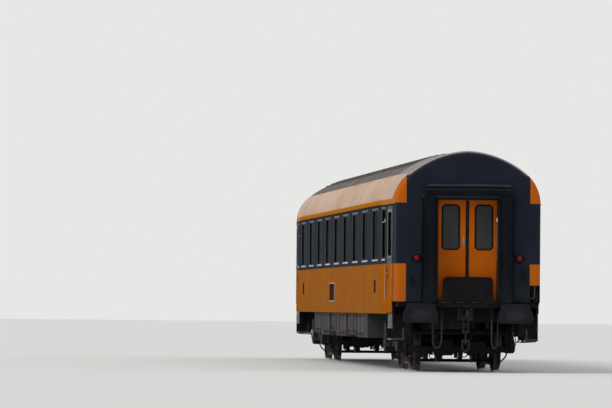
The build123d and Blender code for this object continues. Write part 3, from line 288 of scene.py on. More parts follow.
@dataclass(frozen=True)
class Finish:
    """A painted, moulded or metal finish with dust, streaks and grain."""

    name: str
    colour: Colour
    second: Colour
    rough: float = 0.5
    metal: float = 0.0
    coat: float = 0.0
    dust: float = 0.3
    dust_top: float = 1.3
    dust_fade: float = 1.0
    upward: float = 0.4
    dust_and_sheen_colour: Colour = chart(112, 104, 94)
    streaks: float = 0.0
    streak_colour: Colour = chart(58, 50, 42)
    grain: float = 60.0
    bump: float = 0.15
    bump_size: float = 0.001
    glow: float = 0.0
    specular: float = 0.4
    wear: float = 0.0
    wear_colour: Colour = chart(120, 112, 104)

    def flat(self) -> "Finish":
        """The same finish without rubbed edges, for the large plain faces of a CAD node."""
        return replace(self, name=self.name + "_flat", wear=0.0) if self.wear else self

    def base(self, sheet: Sheet, cloud: Socket) -> Socket:
        """The colour before dust and streaks: the two colours, mixed by a soft cloud."""
        return sheet.blend(sheet.step(cloud, 0.35, 0.65), self.colour, self.second)

    def material(self) -> bpy.types.Material:
        """The finish as a Blender material, made once."""
        return material_once(self.name, self.fill)

    def fill(self, sheet: Sheet, shader: bpy.types.Node) -> None:
        """Lay wear, streaks and dust, which can carry a painted highlight on upward faces, over the base
        colour; set the shader.
        """
        fine = Effect.FINE_GRAIN.use(sheet, Scale=self.grain)
        colour = self.base(sheet, fine["Cloud"])
        if self.wear:
            mask = Effect.EDGE_WEAR.use(sheet, Amount=self.wear)["Mask"]
            colour = sheet.blend(mask, colour, self.wear_colour)
        if self.streaks:
            mask = Effect.RAIN_STREAKS.use(sheet, Amount=self.streaks)["Mask"]
            colour = sheet.blend(mask, colour, self.streak_colour)
        dust_and_sheen_mask = Effect.SETTLED_DUST_AND_SHEEN.use(sheet, Amount=self.dust, Top=self.dust_top, Fade=self.dust_fade,
                                          Upward=self.upward)["Mask"]
        uneven = sheet.times(sheet.minus(fine["Cloud"], 0.5), 0.25)
        rough = sheet.plus(sheet.plus(uneven, self.rough), sheet.times(dust_and_sheen_mask, 0.4), True)
        normal = sheet.bump(fine["Height"], self.bump, self.bump_size)
        with_dust_and_sheen = sheet.blend(dust_and_sheen_mask, colour, self.dust_and_sheen_colour)
        for name, value in (("Base Color", with_dust_and_sheen), ("Roughness", rough), ("Metallic", self.metal),
                            ("Coat Weight", self.coat), ("Coat Roughness", 0.12),
                            ("Specular IOR Level", self.specular), ("Normal", normal)):
            sheet.feed(shader.inputs[name], value)
        if self.glow:
            sheet.feed(shader.inputs["Emission Color"], self.colour)
            sheet.feed(shader.inputs["Emission Strength"], self.glow)


def haunch_sheen_colour(sheet: Sheet, spot: Socket, crown: Colour, patch: Colour) -> Socket:
    """Curved panel over the windows: cream as a painted sky reflection on its yellow, and the yellow wedge
    at each end of it.
    """
    x, _, z = sheet.split(spot)
    cloud = sheet.step(sheet.noise(spot, 1.3, 5.0, (0.3, 1, 1)), 0.3, 0.75)
    pale = sheet.blend(cloud, crown, dimmed(crown, 0.82, 0.78, 0.74))
    edge = sheet.plus(sheet.times(sheet.minus(z, 3.1), 0.85), 12.42)
    return sheet.blend(sheet.step(sheet.minus(sheet.size(x), edge), -0.004, 0.004), pale, patch)


@dataclass(frozen=True)
class LiveryFinish(Finish):
    """The body's paint: yellow below, grey-blue window band, thin strip, and a paler curved panel in cream,
    a painted sky reflection.
    """

    bright: Colour = chart(174, 94, 4)
    bright_second: Colour = chart(164, 88, 6)
    band: Colour = chart(42, 48, 56)
    strip: Colour = chart(176, 106, 26)
    # crown: the haunch's cream, a painted reflection of the sky on its yellow paint
    crown: Colour = chart(204, 176, 156)
    patch: Colour = chart(182, 96, 5)
    lining: Colour = chart(170, 162, 146)
    lining_high: float = 3.27
    inner: float = 1.358
    sheet_length: float = 4.76
    sheet_start: float = 119.0
    corner_end: float = 12.6
    notch: float = 0.31

    def base(self, sheet: Sheet, cloud: Socket) -> Socket:
        """The zones by height, with seams between the sheets, a pale lining and dark lower corners."""
        spot = sheet.place()
        x, y, z = sheet.split(spot)
        far, wide = sheet.size(x), sheet.size(y)
        soft = sheet.step(cloud, 0.3, 0.7)
        # Paler, browner orange on the straight side and the paint's own yellow on the tapered ends: the
        # straight side's colour is a painted reflection of the sky on its grazing faces.
        lower = sheet.blend(sheet.step(far, TAPER_START, TAPER_START + 0.12),
                            sheet.blend(soft, self.colour, self.second),
                            sheet.blend(soft, self.bright, self.bright_second))
        colour = sheet.blend(sheet.between(z, BAND_LOW, BAND_HIGH), lower, self.band)
        colour = sheet.blend(sheet.step(z, BAND_HIGH - 0.002, BAND_HIGH + 0.002), colour, self.strip)
        # The haunch above the strip: cream as a painted reflection of the sky, with the paint's own yellow
        # in the end wedges.
        pale = haunch_sheen_colour(sheet, spot, self.crown, self.patch)
        colour = sheet.blend(sheet.step(z, STRIP_HIGH - 0.006, STRIP_HIGH + 0.03), colour, pale)
        share = sheet.math("DIVIDE", sheet.plus(x, self.sheet_start), self.sheet_length)
        seam = sheet.size(sheet.minus(sheet.math("FRACT", share), 0.5))
        colour = sheet.blend(sheet.times(sheet.step(seam, 0.0012, 0.0004), 0.5), colour, chart(40, 34, 28))
        colour = self.lined(sheet, far, wide, z, colour)
        raised = sheet.times(sheet.step(sheet.times(x, y), -0.1, 0.1), self.notch)
        masks = []
        for height, end in ((z, self.corner_end), (sheet.minus(z, raised), END_INNER)):
            under = sheet.step(height, SILL_LOW + 0.001, SILL_LOW)
            masks.append(sheet.times(under, sheet.step(far, end - 0.003, end - 0.002)))
        return sheet.blend(sheet.math("MAXIMUM", *masks), colour, chart(20, 21, 25))

    def lined(self, sheet: Sheet, far: Socket, wide: Socket, z: Socket, colour: Socket) -> Socket:
        """The colour, and on the wall's inner face a pale lining, dark below the floor."""
        tapered = sheet.times(sheet.math("MAXIMUM", sheet.minus(far, TAPER_START), 0.0), TAPER)
        inside = sheet.times(sheet.step(sheet.plus(wide, tapered), self.inner + 0.001, self.inner),
                             sheet.step(z, self.lining_high, self.lining_high - 0.004))
        lining = sheet.blend(sheet.step(z, SILL_LOW - 0.04, SILL_LOW - 0.03), chart(24, 24, 27), self.lining)
        return sheet.blend(inside, colour, lining)


@dataclass(frozen=True)
class EndFinish(Finish):
    """End's slate paint: yellow corner patches, a painted highlight on the rounded top edge, a pale rim
    under the roof's edge.
    """

    patch: Colour = chart(180, 90, 3)
    rim: Colour = chart(156, 146, 140)

    def base(self, sheet: Sheet, cloud: Socket) -> Socket:
        """Slate, paler where the top edge rounds over (painted highlight, then the rim), yellow outside a
        line near each corner.
        """
        _, y, z = sheet.split(sheet.place())
        out = sheet.step(sheet.size(y), NOTCH_Y + 0.0002, NOTCH_Y + 0.0012)
        low, high = sheet.between(z, 1.27, BAND_LOW), sheet.between(z, 3.08 + RAIL_TOP, 3.58 + RAIL_TOP)
        zone = sheet.times(out, sheet.plus(low, high))
        slate = sheet.blend(sheet.step(cloud, 0.3, 0.7), self.colour, self.second)
        flat = sheet.size(sheet.split(sheet.geometry("Normal"))[0])
        above = sheet.step(z, 3.60, 3.64)
        # Painted highlight: lighter grey where the top edge rounds over, standing for the sky's reflection
        # on it.
        edge_highlight = sheet.times(sheet.times(sheet.step(flat, 0.985, 0.75), above), 0.75)
        slate = sheet.blend(edge_highlight, slate, chart(58, 55, 65))
        slate = sheet.blend(sheet.times(sheet.step(flat, 0.72, 0.62), above), slate, self.rim)
        return sheet.blend(zone, slate, self.patch)


@dataclass(frozen=True)
class RoofFinish(Finish):
    """Weathered roof paint with darker bands on both sides of each rib."""

    haunch_top: float = 3.656
    smooth_from: float = 11.3
    centre_z: float = 2.28031
    rib_pitch: float = math.radians(3.9)
    ribs_to: float = 7.5

    def base(self, sheet: Sheet, cloud: Socket) -> Socket:
        """Grey streaked along the coach, paler at its ends, over a yellow haunch with the cream of a painted
        sky reflection.
        """
        spot = sheet.place()
        x, y, z = sheet.split(spot)
        along = sheet.noise(spot, 5.0, 5.0, (0.08, 1, 1))
        grey = sheet.blend(sheet.step(along, 0.35, 0.7), self.colour, self.second)
        grey = sheet.blend(sheet.times(sheet.step(cloud, 0.45, 0.7), 0.5), grey, chart(86, 80, 76))
        turn = sheet.math("DIVIDE", sheet.math("ARCTAN2", y, sheet.minus(z, self.centre_z)), self.rib_pitch)
        off = sheet.size(sheet.minus(sheet.math("FRACT", sheet.plus(turn, 20.5)), 0.5))
        ribbed = sheet.step(sheet.size(turn), self.ribs_to + 0.01, self.ribs_to)
        line = sheet.times(sheet.between(off, 0.135, 0.25, 0.02), ribbed)
        grey = sheet.blend(sheet.times(line, 0.55), grey, chart(62, 57, 54))
        ends = sheet.step(sheet.size(x), self.smooth_from, self.smooth_from + 0.1)
        grey = sheet.blend(sheet.times(ends, 0.7), grey, chart(158, 148, 142))
        # The roof's haunch takes the same cream, a painted reflection of the sky.
        haunch = haunch_sheen_colour(sheet, spot, LIVERY.crown, LIVERY.patch)
        haunch = sheet.blend(sheet.step(z, STRIP_HIGH - 0.006, STRIP_HIGH + 0.03), LIVERY.strip, haunch)
        return sheet.blend(sheet.step(z, self.haunch_top - 0.004, self.haunch_top + 0.004), haunch, grey)


@dataclass(frozen=True)
class StepFinish(Finish):
    """Step boxes: pale outer panel, dark ends and treads."""

    outer: float = 1.338
    tread: float = 0.79

    def base(self, sheet: Sheet, cloud: Socket) -> Socket:
        """Pale where the face is the outer panel and above the lower tread."""
        _, y, z = sheet.split(sheet.place())
        panel = sheet.times(sheet.step(sheet.size(y), self.outer, self.outer + 0.004),
                            sheet.step(z, self.tread, self.tread + 0.004))
        return sheet.blend(panel, self.second, self.colour)


@dataclass(frozen=True)
class HeadFinish(Finish):
    """Buffer heads, paler round their middle: a painted highlight that stands for the rubbed face too."""

    y: float = 0.875
    z: float = 1.05
    wide: float = 0.20
    tall: float = 0.12
    face: float = 13.17
    # rubbed: the lighter grey of a painted highlight and of the rubbed face
    rubbed: Colour = chart(42, 44, 53)

    def base(self, sheet: Sheet, cloud: Socket) -> Socket:
        """The paler colour, a painted highlight and rubbing, inside an ellipse with a ragged edge."""
        x, y, z = sheet.split(sheet.place())
        across = sheet.math("DIVIDE", sheet.minus(sheet.size(y), self.y), self.wide)
        up = sheet.math("DIVIDE", sheet.minus(z, self.z), self.tall)
        away = sheet.plus(sheet.math("POWER", across, 2.0), sheet.math("POWER", up, 2.0))
        ragged = sheet.plus(away, sheet.noise(sheet.place(), 9.0, 4.0))
        face = sheet.step(sheet.size(x), self.face, self.face + 0.01)
        share = sheet.times(sheet.times(sheet.step(ragged, 1.9, 0.5), face), 0.6)
        return sheet.blend(share, Finish.base(self, sheet, cloud), self.rubbed)


@dataclass(frozen=True)
class GlassFinish:
    """Tinted glass."""

    name: str
    tint: Colour
    rough: float = 0.03
    index: float = 1.003
    clear: float = 1.0

    def material(self) -> bpy.types.Material:
        """The glass as a Blender material, made once."""
        return material_once(self.name, self.fill)

    def fill(self, sheet: Sheet, shader: bpy.types.Node) -> None:
        """Set the shader for glass with a little grime."""
        grime = sheet.noise(sheet.place(), 2.2, 5.0)
        tint = sheet.blend(sheet.step(grime, 0.3, 0.8), self.tint, dimmed(self.tint, 0.8, 0.8, 0.8))
        sheet.feed(shader.inputs["Base Color"], tint)
        sheet.feed(shader.inputs["Roughness"], sheet.plus(sheet.times(grime, 0.04), self.rough))
        shader.inputs["Transmission Weight"].default_value = self.clear
        shader.inputs["IOR"].default_value = self.index


# colour and second: the straight side's orange, made paler by a painted reflection of the sky; crown: the
# haunch's cream, a painted reflection too.
LIVERY = LiveryFinish("body_livery", chart(162, 97, 34), chart(150, 92, 40), rough=0.6, dust=0.22,
                      dust_top=1.45, dust_fade=0.5, upward=0.0, dust_and_sheen_colour=chart(120, 84, 44), streaks=0.12,
                      streak_colour=chart(104, 66, 20), bump=0.05, specular=0.0, band=chart(50, 56, 64))
DOOR_LIVERY = replace(LIVERY, name="door_livery", band=chart(92, 95, 98), inner=1.3685)
END_PAINT = EndFinish("end_slate", chart(22, 28, 38), chart(27, 34, 45), rough=0.4, dust=0.2, dust_top=1.9,
                      upward=0.1, dust_and_sheen_colour=chart(44, 44, 46), bump=0.06, specular=0.08)
ROOF = RoofFinish("roof_grey", chart(98, 91, 88), chart(114, 106, 101), rough=0.7, dust=0.15, upward=0.3,
                  bump=0.2, specular=0.05)
DOOR = Finish("door_orange", chart(180, 88, 2), chart(170, 80, 2), rough=0.4, specular=0.06, dust=0.12,
              dust_top=1.8, upward=0.0, dust_and_sheen_colour=chart(96, 66, 30), streaks=0.12,
              streak_colour=chart(110, 60, 10), bump=0.05)
BLACK = Finish("frame_black", chart(17, 18, 23), chart(25, 25, 28), rough=0.75, dust=0.35, dust_top=1.4,
               dust_and_sheen_colour=chart(44, 41, 40), wear=0.3, wear_colour=chart(66, 62, 60), specular=0.1)
BOGIE = Finish("bogie_black", chart(19, 19, 23), chart(28, 26, 27), rough=0.8, dust=0.45, dust_top=1.2,
               upward=0.5, dust_and_sheen_colour=chart(56, 49, 46), bump=0.3, wear=0.35, wear_colour=chart(84, 74, 68),
               specular=0.1)
SPRING = Finish("spring_black", chart(20, 20, 24), chart(30, 29, 31), rough=0.6, specular=0.25, dust=0.35,
                dust_top=1.2, dust_and_sheen_colour=chart(66, 58, 52), bump=0.2)
DAMPER = Finish("damper_grey", chart(56, 58, 62), chart(44, 46, 50), rough=0.5, metal=0.3, dust=0.5,
                dust_and_sheen_colour=chart(72, 64, 58), wear=0.4)
COVER = Finish("cover_grey", chart(64, 64, 66), chart(50, 49, 50), rough=0.55, metal=0.3, dust=0.55,
               dust_and_sheen_colour=chart(78, 68, 60), bump=0.25, wear=0.5)
SHOE = Finish("shoe_steel", chart(70, 62, 58), chart(52, 44, 40), rough=0.5, metal=0.7, dust=0.3, bump=0.35,
              dust_and_sheen_colour=chart(84, 60, 44))
DISC = Finish("disc_steel", chart(104, 98, 92), chart(80, 72, 66), rough=0.38, metal=0.8, dust=0.25,
              dust_and_sheen_colour=chart(92, 66, 48), bump=0.15)
CASES = Finish("case_grey", chart(58, 57, 57), chart(48, 46, 46), rough=0.75, dust=0.55, dust_top=1.1,
               streaks=0.4, streak_colour=chart(40, 36, 33), dust_and_sheen_colour=chart(80, 72, 66), bump=0.25,
               wear=0.3, specular=0.25)
TANK = Finish("tank_grey", chart(50, 50, 52), chart(42, 41, 42), rough=0.6, dust=0.5, dust_top=1.1,
              dust_and_sheen_colour=chart(76, 68, 62), bump=0.15)
ALLOY = Finish("window_alloy", chart(104, 107, 110), chart(90, 93, 96), rough=0.5, metal=0.3, specular=0.15,
               dust=0.2, dust_top=3.4, upward=0.3, dust_and_sheen_colour=chart(84, 80, 76), bump=0.08)
STEEL = Finish("greased_steel", chart(24, 26, 34), chart(17, 19, 26), rough=0.5, specular=0.15, metal=0.1,
               dust=0.25, dust_top=1.4, dust_and_sheen_colour=chart(56, 53, 53), bump=0.25, wear=0.3)
HOOK = Finish("hook_steel", chart(44, 45, 50), chart(30, 31, 36), rough=0.45, metal=0.4, dust=0.2,
              dust_top=1.4, dust_and_sheen_colour=chart(60, 56, 52), bump=0.35, wear=0.6,
              wear_colour=chart(140, 138, 136), specular=0.2)
BUFFER_HEAD = HeadFinish("buffer_head", chart(17, 19, 27), chart(12, 14, 20), rough=0.38, specular=0.15,
                         metal=0.05,
                     dust=0.15, dust_top=1.4, dust_and_sheen_colour=chart(50, 49, 51), bump=0.2, wear=0.4)
WHEEL = Finish("wheel_brown", chart(34, 29, 28), chart(26, 23, 23), rough=0.8, dust=0.35,
               dust_and_sheen_colour=chart(56, 45, 38), bump=0.35, specular=0.2)
TREAD = Finish("tread_bright", chart(88, 86, 86), chart(66, 64, 64), rough=0.4, metal=0.8, dust=0.15,
               bump=0.08, dust_and_sheen_colour=chart(40, 36, 34))
# The rubber's pale dust, five times as strong on upward faces, is a painted highlight along the roll's top
# and the uprights, and real dust low down.
RUBBER = Finish("gangway_black", chart(9, 11, 17), chart(14, 16, 22), rough=0.55, dust=0.14, dust_top=1.9,
                upward=5.0, dust_and_sheen_colour=chart(74, 75, 82), bump=0.12, grain=90.0, specular=0.08)
STEP = StepFinish("step_grey", chart(108, 106, 104), chart(18, 19, 24), rough=0.65, dust=0.1, dust_top=0.9,
                  streaks=0.2, bump=0.3, wear=0.2, specular=0.04)
PLATE = Finish("plate_brown", chart(25, 21, 24), chart(19, 17, 21), rough=0.66, dust=0.15, specular=0.06,
               dust_top=2.0, dust_and_sheen_colour=chart(44, 38, 36), bump=0.4, wear=0.3,
               wear_colour=chart(58, 52, 50))
PANEL = Finish("panel_cream", chart(176, 170, 156), chart(166, 158, 146), rough=0.5, dust=0.05, bump=0.05)
CLOTH = Finish("seat_weave", chart(70, 76, 88), chart(58, 64, 78), rough=0.9, dust=0.0, grain=400.0,
               bump=0.6)
SIGN = Finish("sign_dark", chart(62, 36, 18), chart(46, 28, 16), rough=0.3, dust=0.1, dust_top=2.0,
              specular=0.0)
LENS = Finish("lens_red", chart(122, 2, 20), chart(98, 1, 15), rough=0.25, dust=0.0, glow=0.1, specular=0.15)
PALE = Finish("rail_pale", chart(150, 148, 144), chart(130, 127, 122), rough=0.45, metal=0.3, dust=0.2)
WHITE = Finish("box_white", chart(206, 206, 202), chart(190, 190, 186), rough=0.5, dust=0.1)
GLOW = Finish("light_cover", chart(230, 224, 208), chart(222, 216, 200), rough=0.5, dust=0.0, glow=0.3)
HOSE = Finish("hose_black", chart(22, 22, 25), chart(32, 31, 33), rough=0.6, dust=0.3, grain=150.0,
              dust_and_sheen_colour=chart(64, 58, 54))
SILL = Finish("sill_bright", chart(186, 188, 190), chart(160, 162, 166), rough=0.5, metal=0.2, dust=0.1)
FRAME = Finish("window_slate", chart(54, 61, 69), chart(44, 50, 58), rough=0.5, specular=0.12, dust=0.15,
               dust_top=3.4, dust_and_sheen_colour=chart(70, 68, 66), bump=0.06)
LAMINATE = Finish("door_laminate", chart(150, 132, 104), chart(136, 118, 92), rough=0.45, dust=0.05)
PANE = GlassFinish("window_pane", chart(170, 178, 180))
DOOR_PANE = GlassFinish("door_pane", chart(86, 86, 86), rough=0.25, clear=0.45)

NODE_FINISHES = {
    "body_paint": LIVERY, "roof_paint": ROOF, "end_paint": END_PAINT, "frame_paint": BLACK,
    "frame_alloy": ALLOY, "window_glass": PANE, "step_steel": STEP, "tube_rubber": RUBBER,
    "buffer_steel": STEEL, "lamp_glass": LENS, "rail_paint": PALE, "sign_glass": SIGN,
    "hose_rubber": HOSE, "case_paint": CASES, "inner_panel": PANEL, "seat_cloth": CLOTH,
    "door_paint": DOOR, "bogie_paint": BOGIE, "spring_steel": BOGIE, "wheel_steel": WHEEL,
}


# Surfaces

@dataclass
class Patch:
    """Part of a surface: points, four-sided faces and whole faces with more corners."""

    points: np.ndarray
    quads: np.ndarray
    caps: list = field(default_factory=list)

    def moved(self, matrix: np.ndarray, shift: tuple = (0, 0, 0)) -> "Patch":
        """The patch turned by a 3 by 3 matrix and then shifted."""
        points = self.points @ np.asarray(matrix, float).T + np.asarray(shift, float)
        return Patch(points, self.quads, self.caps)

    def at(self, *shift: float) -> "Patch":
        """The patch shifted."""
        return self.moved(np.eye(3), shift)


MIRROR = np.diag([1.0, -1.0, 1.0])
HALF_TURN = np.diag([-1.0, -1.0, 1.0])
Parts = list[tuple[Patch, object]]
Profile = list[tuple[float, float]]


def both_sides(patches: list[Patch]) -> list[Patch]:
    """Patches of the left side and their mirror images on the right."""
    return patches + [patch.moved(MIRROR) for patch in patches]


def both_ends(patches: list[Patch]) -> list[Patch]:
    """Patches of one end and the same turned half round."""
    return patches + [patch.moved(HALF_TURN) for patch in patches]


def at_end(patches: list[Patch], end: End) -> list[Patch]:
    """Patches made at the rear end, turned half round for the front."""
    return patches if end is End.REAR else [patch.moved(HALF_TURN) for patch in patches]


def in_finish(finish: object, *patches: Patch) -> Parts:
    """Patches paired with the finish that they take."""
    return [(patch, finish) for patch in patches]


def grid(points: np.ndarray, loop_rows: bool = False, loop_cols: bool = False, closed: bool = False
         ) -> Patch:
    """Surface over a grid of points with one face between each four neighbours.

    Args:
        points: array of rows by columns by three.
        loop_rows: join the last row to the first.
        loop_cols: join the last column to the first.
        closed: fill the first and the last row with one face each.

    Returns:
        The patch.
    """
    rows, cols = points.shape[:2]
    row, col = np.meshgrid(np.arange(rows if loop_rows else rows - 1),
                           np.arange(cols if loop_cols else cols - 1), indexing="ij")
    below, right = (row + 1) % rows, (col + 1) % cols
    quads = np.stack([row * cols + col, row * cols + right, below * cols + right, below * cols + col], -1)
    caps = [list(range(start, start + cols)) for start in (0, (rows - 1) * cols)] if closed else []
    return Patch(points.reshape(-1, 3), quads.reshape(-1, 4), caps)


def circle(sides: int) -> np.ndarray:
    """Evenly spaced angles of a full turn."""
    return np.linspace(0, 2 * np.pi, sides, endpoint=False)


def revolve(profile: Profile, centre: tuple, axis: str, sides: int) -> Patch:
    """Profile of (radius, place along the axis) turned round: radius times cosine and sine."""
    shape = np.asarray(profile, float)
    angle = circle(sides)
    a, b = shape[:, :1] * np.cos(angle), shape[:, :1] * np.sin(angle)
    c = np.repeat(shape[:, 1:], sides, axis=1)
    order = {"x": (c, a, b), "y": (a, c, b), "z": (a, b, c)}[axis]
    return grid(np.stack(order, -1) + np.asarray(centre, float), loop_cols=True)


def drum(radius: float, low: float, high: float, edge: float, rise: float) -> Profile:
    """Profile of a closed drum whose edges are broken by one step inward and one along."""
    inner = radius - edge
    return [(0, low), (inner, low), (radius, low + rise), (radius, high - rise), (inner, high), (0, high)]


def tube(path: np.ndarray, radius: float, sides: int = 12, up: tuple = (0, 0, 1)) -> Patch:
    """Round tube along a path: each point plus the radius times a turning normal.

    The normal is the cross product of the path's direction and a fixed vector. The ends are
    closed by a row that shrinks to the path's end point.
    """
    path = np.asarray(path, float)
    ahead = np.gradient(path, axis=0)
    ahead /= np.linalg.norm(ahead, axis=1, keepdims=True)
    side = np.cross(ahead, np.asarray(up, float))
    side /= np.linalg.norm(side, axis=1, keepdims=True)
    other = np.cross(side, ahead)
    size = np.concatenate([[0.0], np.full(len(path), radius), [0.0]])
    path, side, other = (np.concatenate([part[:1], part, part[-1:]]) for part in (path, side, other))
    angle = circle(sides)[None, :, None]
    ring = side[:, None] * np.cos(angle) + other[:, None] * np.sin(angle)
    return grid(path[:, None] + ring * size[:, None, None], loop_cols=True)


def soft_block(low: tuple, high: tuple, radius: float = 0.008, steps: int = 2) -> Patch:
    """Box with rounded edges.

    Each side is a grid; a point is pulled to the box that is smaller by the radius, and then
    pushed out again by the radius along the line to where it was.
    """
    low, high = np.minimum(low, high).astype(float), np.maximum(low, high).astype(float)
    half, centre = (high - low) / 2, (high + low) / 2
    radius = min(radius, 0.98 * half.min())
    edge = np.linspace(0, radius, steps + 1)
    patches = []
    for axis in range(3):
        first, second = [index for index in range(3) if index != axis]
        a, b = np.meshgrid(*(np.concatenate([-half[index] + edge, half[index] - edge[::-1]])
                             for index in (first, second)), indexing="ij")
        for sign in SIDES:
            place = np.zeros(a.shape + (3,))
            place[..., first], place[..., second], place[..., axis] = a, b, sign * half[axis]
            core = np.clip(place, -(half - radius), half - radius)
            out = place - core
            out *= radius / np.linalg.norm(out, axis=-1, keepdims=True)
            patches.append(grid(core + out + centre))
    return joined(patches)


def joined(patches: list[Patch]) -> Patch:
    """Several patches as one."""
    starts = np.cumsum([0] + [len(patch.points) for patch in patches[:-1]])
    return Patch(np.concatenate([patch.points for patch in patches]),
                 np.concatenate([patch.quads + start for patch, start in zip(patches, starts)]),
                 [[index + int(start) for index in cap] for patch, start in zip(patches, starts)
                  for cap in patch.caps])


def rounded_loop(width: float, height: float, radius: float, steps: int = 6) -> np.ndarray:
    """Closed outline of a rectangle whose corners are quarter circles, anticlockwise."""
    angle = np.linspace(0, np.pi / 2, steps + 1)
    radius = min(radius, width / 2, height / 2)
    corners = []
    for quarter, (right, top) in enumerate(((1, 1), (-1, 1), (-1, -1), (1, -1))):
        turn = angle + quarter * np.pi / 2
        corners.append(np.stack([right * (width / 2 - radius) + radius * np.cos(turn),
                                 top * (height / 2 - radius) + radius * np.sin(turn)], -1))
    return np.concatenate(corners)


def eased(corner: np.ndarray, before: np.ndarray, after: np.ndarray, radius: float, steps: int
          ) -> np.ndarray:
    """Quadratic curves in place of corners, between points on the edges to their neighbours."""
    back, ahead = before - corner, after - corner
    long_back = np.linalg.norm(back, axis=1, keepdims=True)
    long_ahead = np.linalg.norm(ahead, axis=1, keepdims=True)
    reach = np.minimum(radius, 0.45 * np.minimum(long_back, long_ahead))
    start, end = ((corner + line / length * reach)[:, None]
                  for line, length in ((back, long_back), (ahead, long_ahead)))
    share = np.linspace(0, 1, steps + 1)[None, :, None]
    curve = (1 - share) ** 2 * start + 2 * share * (1 - share) * corner[:, None] + share ** 2 * end
    return curve.reshape(-1, corner.shape[1])


def rounded_polygon(points: list, radius: float, steps: int = 4) -> np.ndarray:
    """Closed outline with eased corners."""
    corner = np.asarray(points, float)
    return eased(corner, np.roll(corner, 1, 0), np.roll(corner, -1, 0), radius, steps)


def bend(points: list, radius: float, steps: int = 6) -> np.ndarray:
    """Open path with eased corners."""
    place = np.asarray(points, float)
    return np.concatenate([place[:1], eased(place[1:-1], place[:-2], place[2:], radius, steps), place[-1:]])


def mirrored(right: Profile) -> Profile:
    """An outline from its right half: first the lower left corner, then up the right and down the left."""
    return [(-right[0][0], right[0][1]), *right, *((-across, up) for across, up in reversed(right[1:]))]


def moved_in(outline: np.ndarray, distance: float) -> np.ndarray:
    """Outline moved inwards along the mean of its neighbouring edges' normals."""
    nearest = np.roll(outline, -1, 0)
    ahead = nearest - outline
    ahead /= np.linalg.norm(ahead, axis=1, keepdims=True) + 1e-12
    along = ahead + np.roll(ahead, 1, 0)
    along /= np.linalg.norm(along, axis=1, keepdims=True) + 1e-12
    turn = np.sign(np.sum(outline[:, 0] * nearest[:, 1] - nearest[:, 0] * outline[:, 1]))
    return outline + turn * distance * np.column_stack([-along[:, 1], along[:, 0]])


def coil(centre: tuple, radius: float, wire: float, low: float, high: float, turns: float) -> Patch:
    """Coil spring: a circle's cosine and sine with a height that grows, slower at both ends."""
    share = np.linspace(0, 1, int(16 * turns) + 1)
    angle = 2 * np.pi * turns * share
    rise = share + np.sin(2 * np.pi * share) * -0.09
    path = np.column_stack([centre[0] + radius * np.cos(angle), centre[1] + radius * np.sin(angle),
                            low + wire + (high - low - 2 * wire) * rise])
    return tube(path, wire, 8)


@dataclass(frozen=True)
class Spot:
    """A place on the coach with its own across, up and outward directions."""

    origin: tuple[float, float, float]
    across: tuple[float, float, float] = (1, 0, 0)
    up: tuple[float, float, float] = (0, 0, 1)
    out: tuple[float, float, float] = (0, 1, 0)

    def put(self, across: object, up: object, out: object) -> np.ndarray:
        """Points from distances across, up and outward."""
        parts = np.broadcast_arrays(across, up, out)
        return (np.asarray(self.origin, float)
                + sum(part[..., None] * np.asarray(axis, float)
                      for part, axis in zip(parts, (self.across, self.up, self.out))))

    def ring(self, width: float, height: float, radius: float, profile: Profile, steps: int = 6) -> Patch:
        """A closed profile of (inset, outward) carried round a rounded rectangle."""
        rows = []
        for inset, out in profile:
            loop = rounded_loop(width - 2 * inset, height - 2 * inset, max(radius - inset, 0.004), steps)
            rows.append(self.put(*loop.T, out))
        return grid(np.stack(rows), loop_rows=True, loop_cols=True)

    def disc(self, profile: Profile, sides: int = 32) -> Patch:
        """A profile of (radius, outward) turned round the outward direction."""
        angle, shape = circle(sides), np.asarray(profile, float)
        return grid(self.put(shape[:, :1] * np.cos(angle), shape[:, :1] * np.sin(angle),
                             np.repeat(shape[:, 1:], sides, axis=1)), loop_cols=True)

    def bolt(self, across: float, up: float, radius: float = 0.012, height: float = 0.01) -> Patch:
        """A six-sided bolt head with its washer."""
        seat = replace(self, origin=tuple(self.put(np.array(across), np.array(up), np.array(0.0))))
        washer, top = 1.35 * radius, 0.2 * height
        head = [(radius, 0), (radius, 0.85 * height), (0.85 * radius, height), (0, height)]
        return joined([seat.disc([(0, 0), (washer, 0), (washer, top), (0, top)], 12), seat.disc(head, 6)])

    def bolts(self, across: tuple, up: tuple, radius: float, height: float) -> list[Patch]:
        """Bolt heads at every pair of places across and up."""
        return [self.bolt(a, b, radius, height) for a in across for b in up]

    def plate(self, outline: np.ndarray, low: float, high: float, edge: float = 0.0) -> Patch:
        """A flat plate on an outline, with its edge broken on both faces."""
        inner = moved_in(outline, edge)
        rows = [(inner, low), (outline, low + edge), (outline, high - edge), (inner, high)]
        return grid(np.stack([self.put(*line.T, out) for line, out in rows]), loop_cols=True, closed=True)

    def shell(self, outline: np.ndarray, profile: Profile) -> Patch:
        """A crowned plate: the outline shrunk by each share and set at each distance outward."""
        rows = [self.put(*(share * outline).T, out) for share, out in profile]
        return grid(np.stack(rows), loop_cols=True)

    def block(self, low: tuple, high: tuple, radius: float = 0.004) -> Patch:
        """A soft block between two corners given across, up and outward."""
        axes = np.stack([self.across, self.up, self.out], 1)
        return soft_block(low, high, radius).moved(axes, self.origin)

    def grip(self, low: float, high: float, out: float, round_off: float, radius: float) -> Patch:
        """An upright bar between two heights that stands off the face, with bent ends."""
        path = bend([(0.0, low, 0.0), (0.0, low, out), (0.0, high, out), (0.0, high, 0.0)], round_off)
        return tube(self.put(*path.T), radius, 10, self.across)


def facing(origin: tuple, out: tuple) -> Spot:
    """A place whose outward direction is given and whose up is z, or x where outward is vertical."""
    out = Vector(out).normalized()
    up = Vector((1, 0, 0)) if abs(out.z) > 0.9 else Vector((0, 0, 1))
    return Spot(tuple(origin), tuple(up.cross(out)), tuple(up), tuple(out))


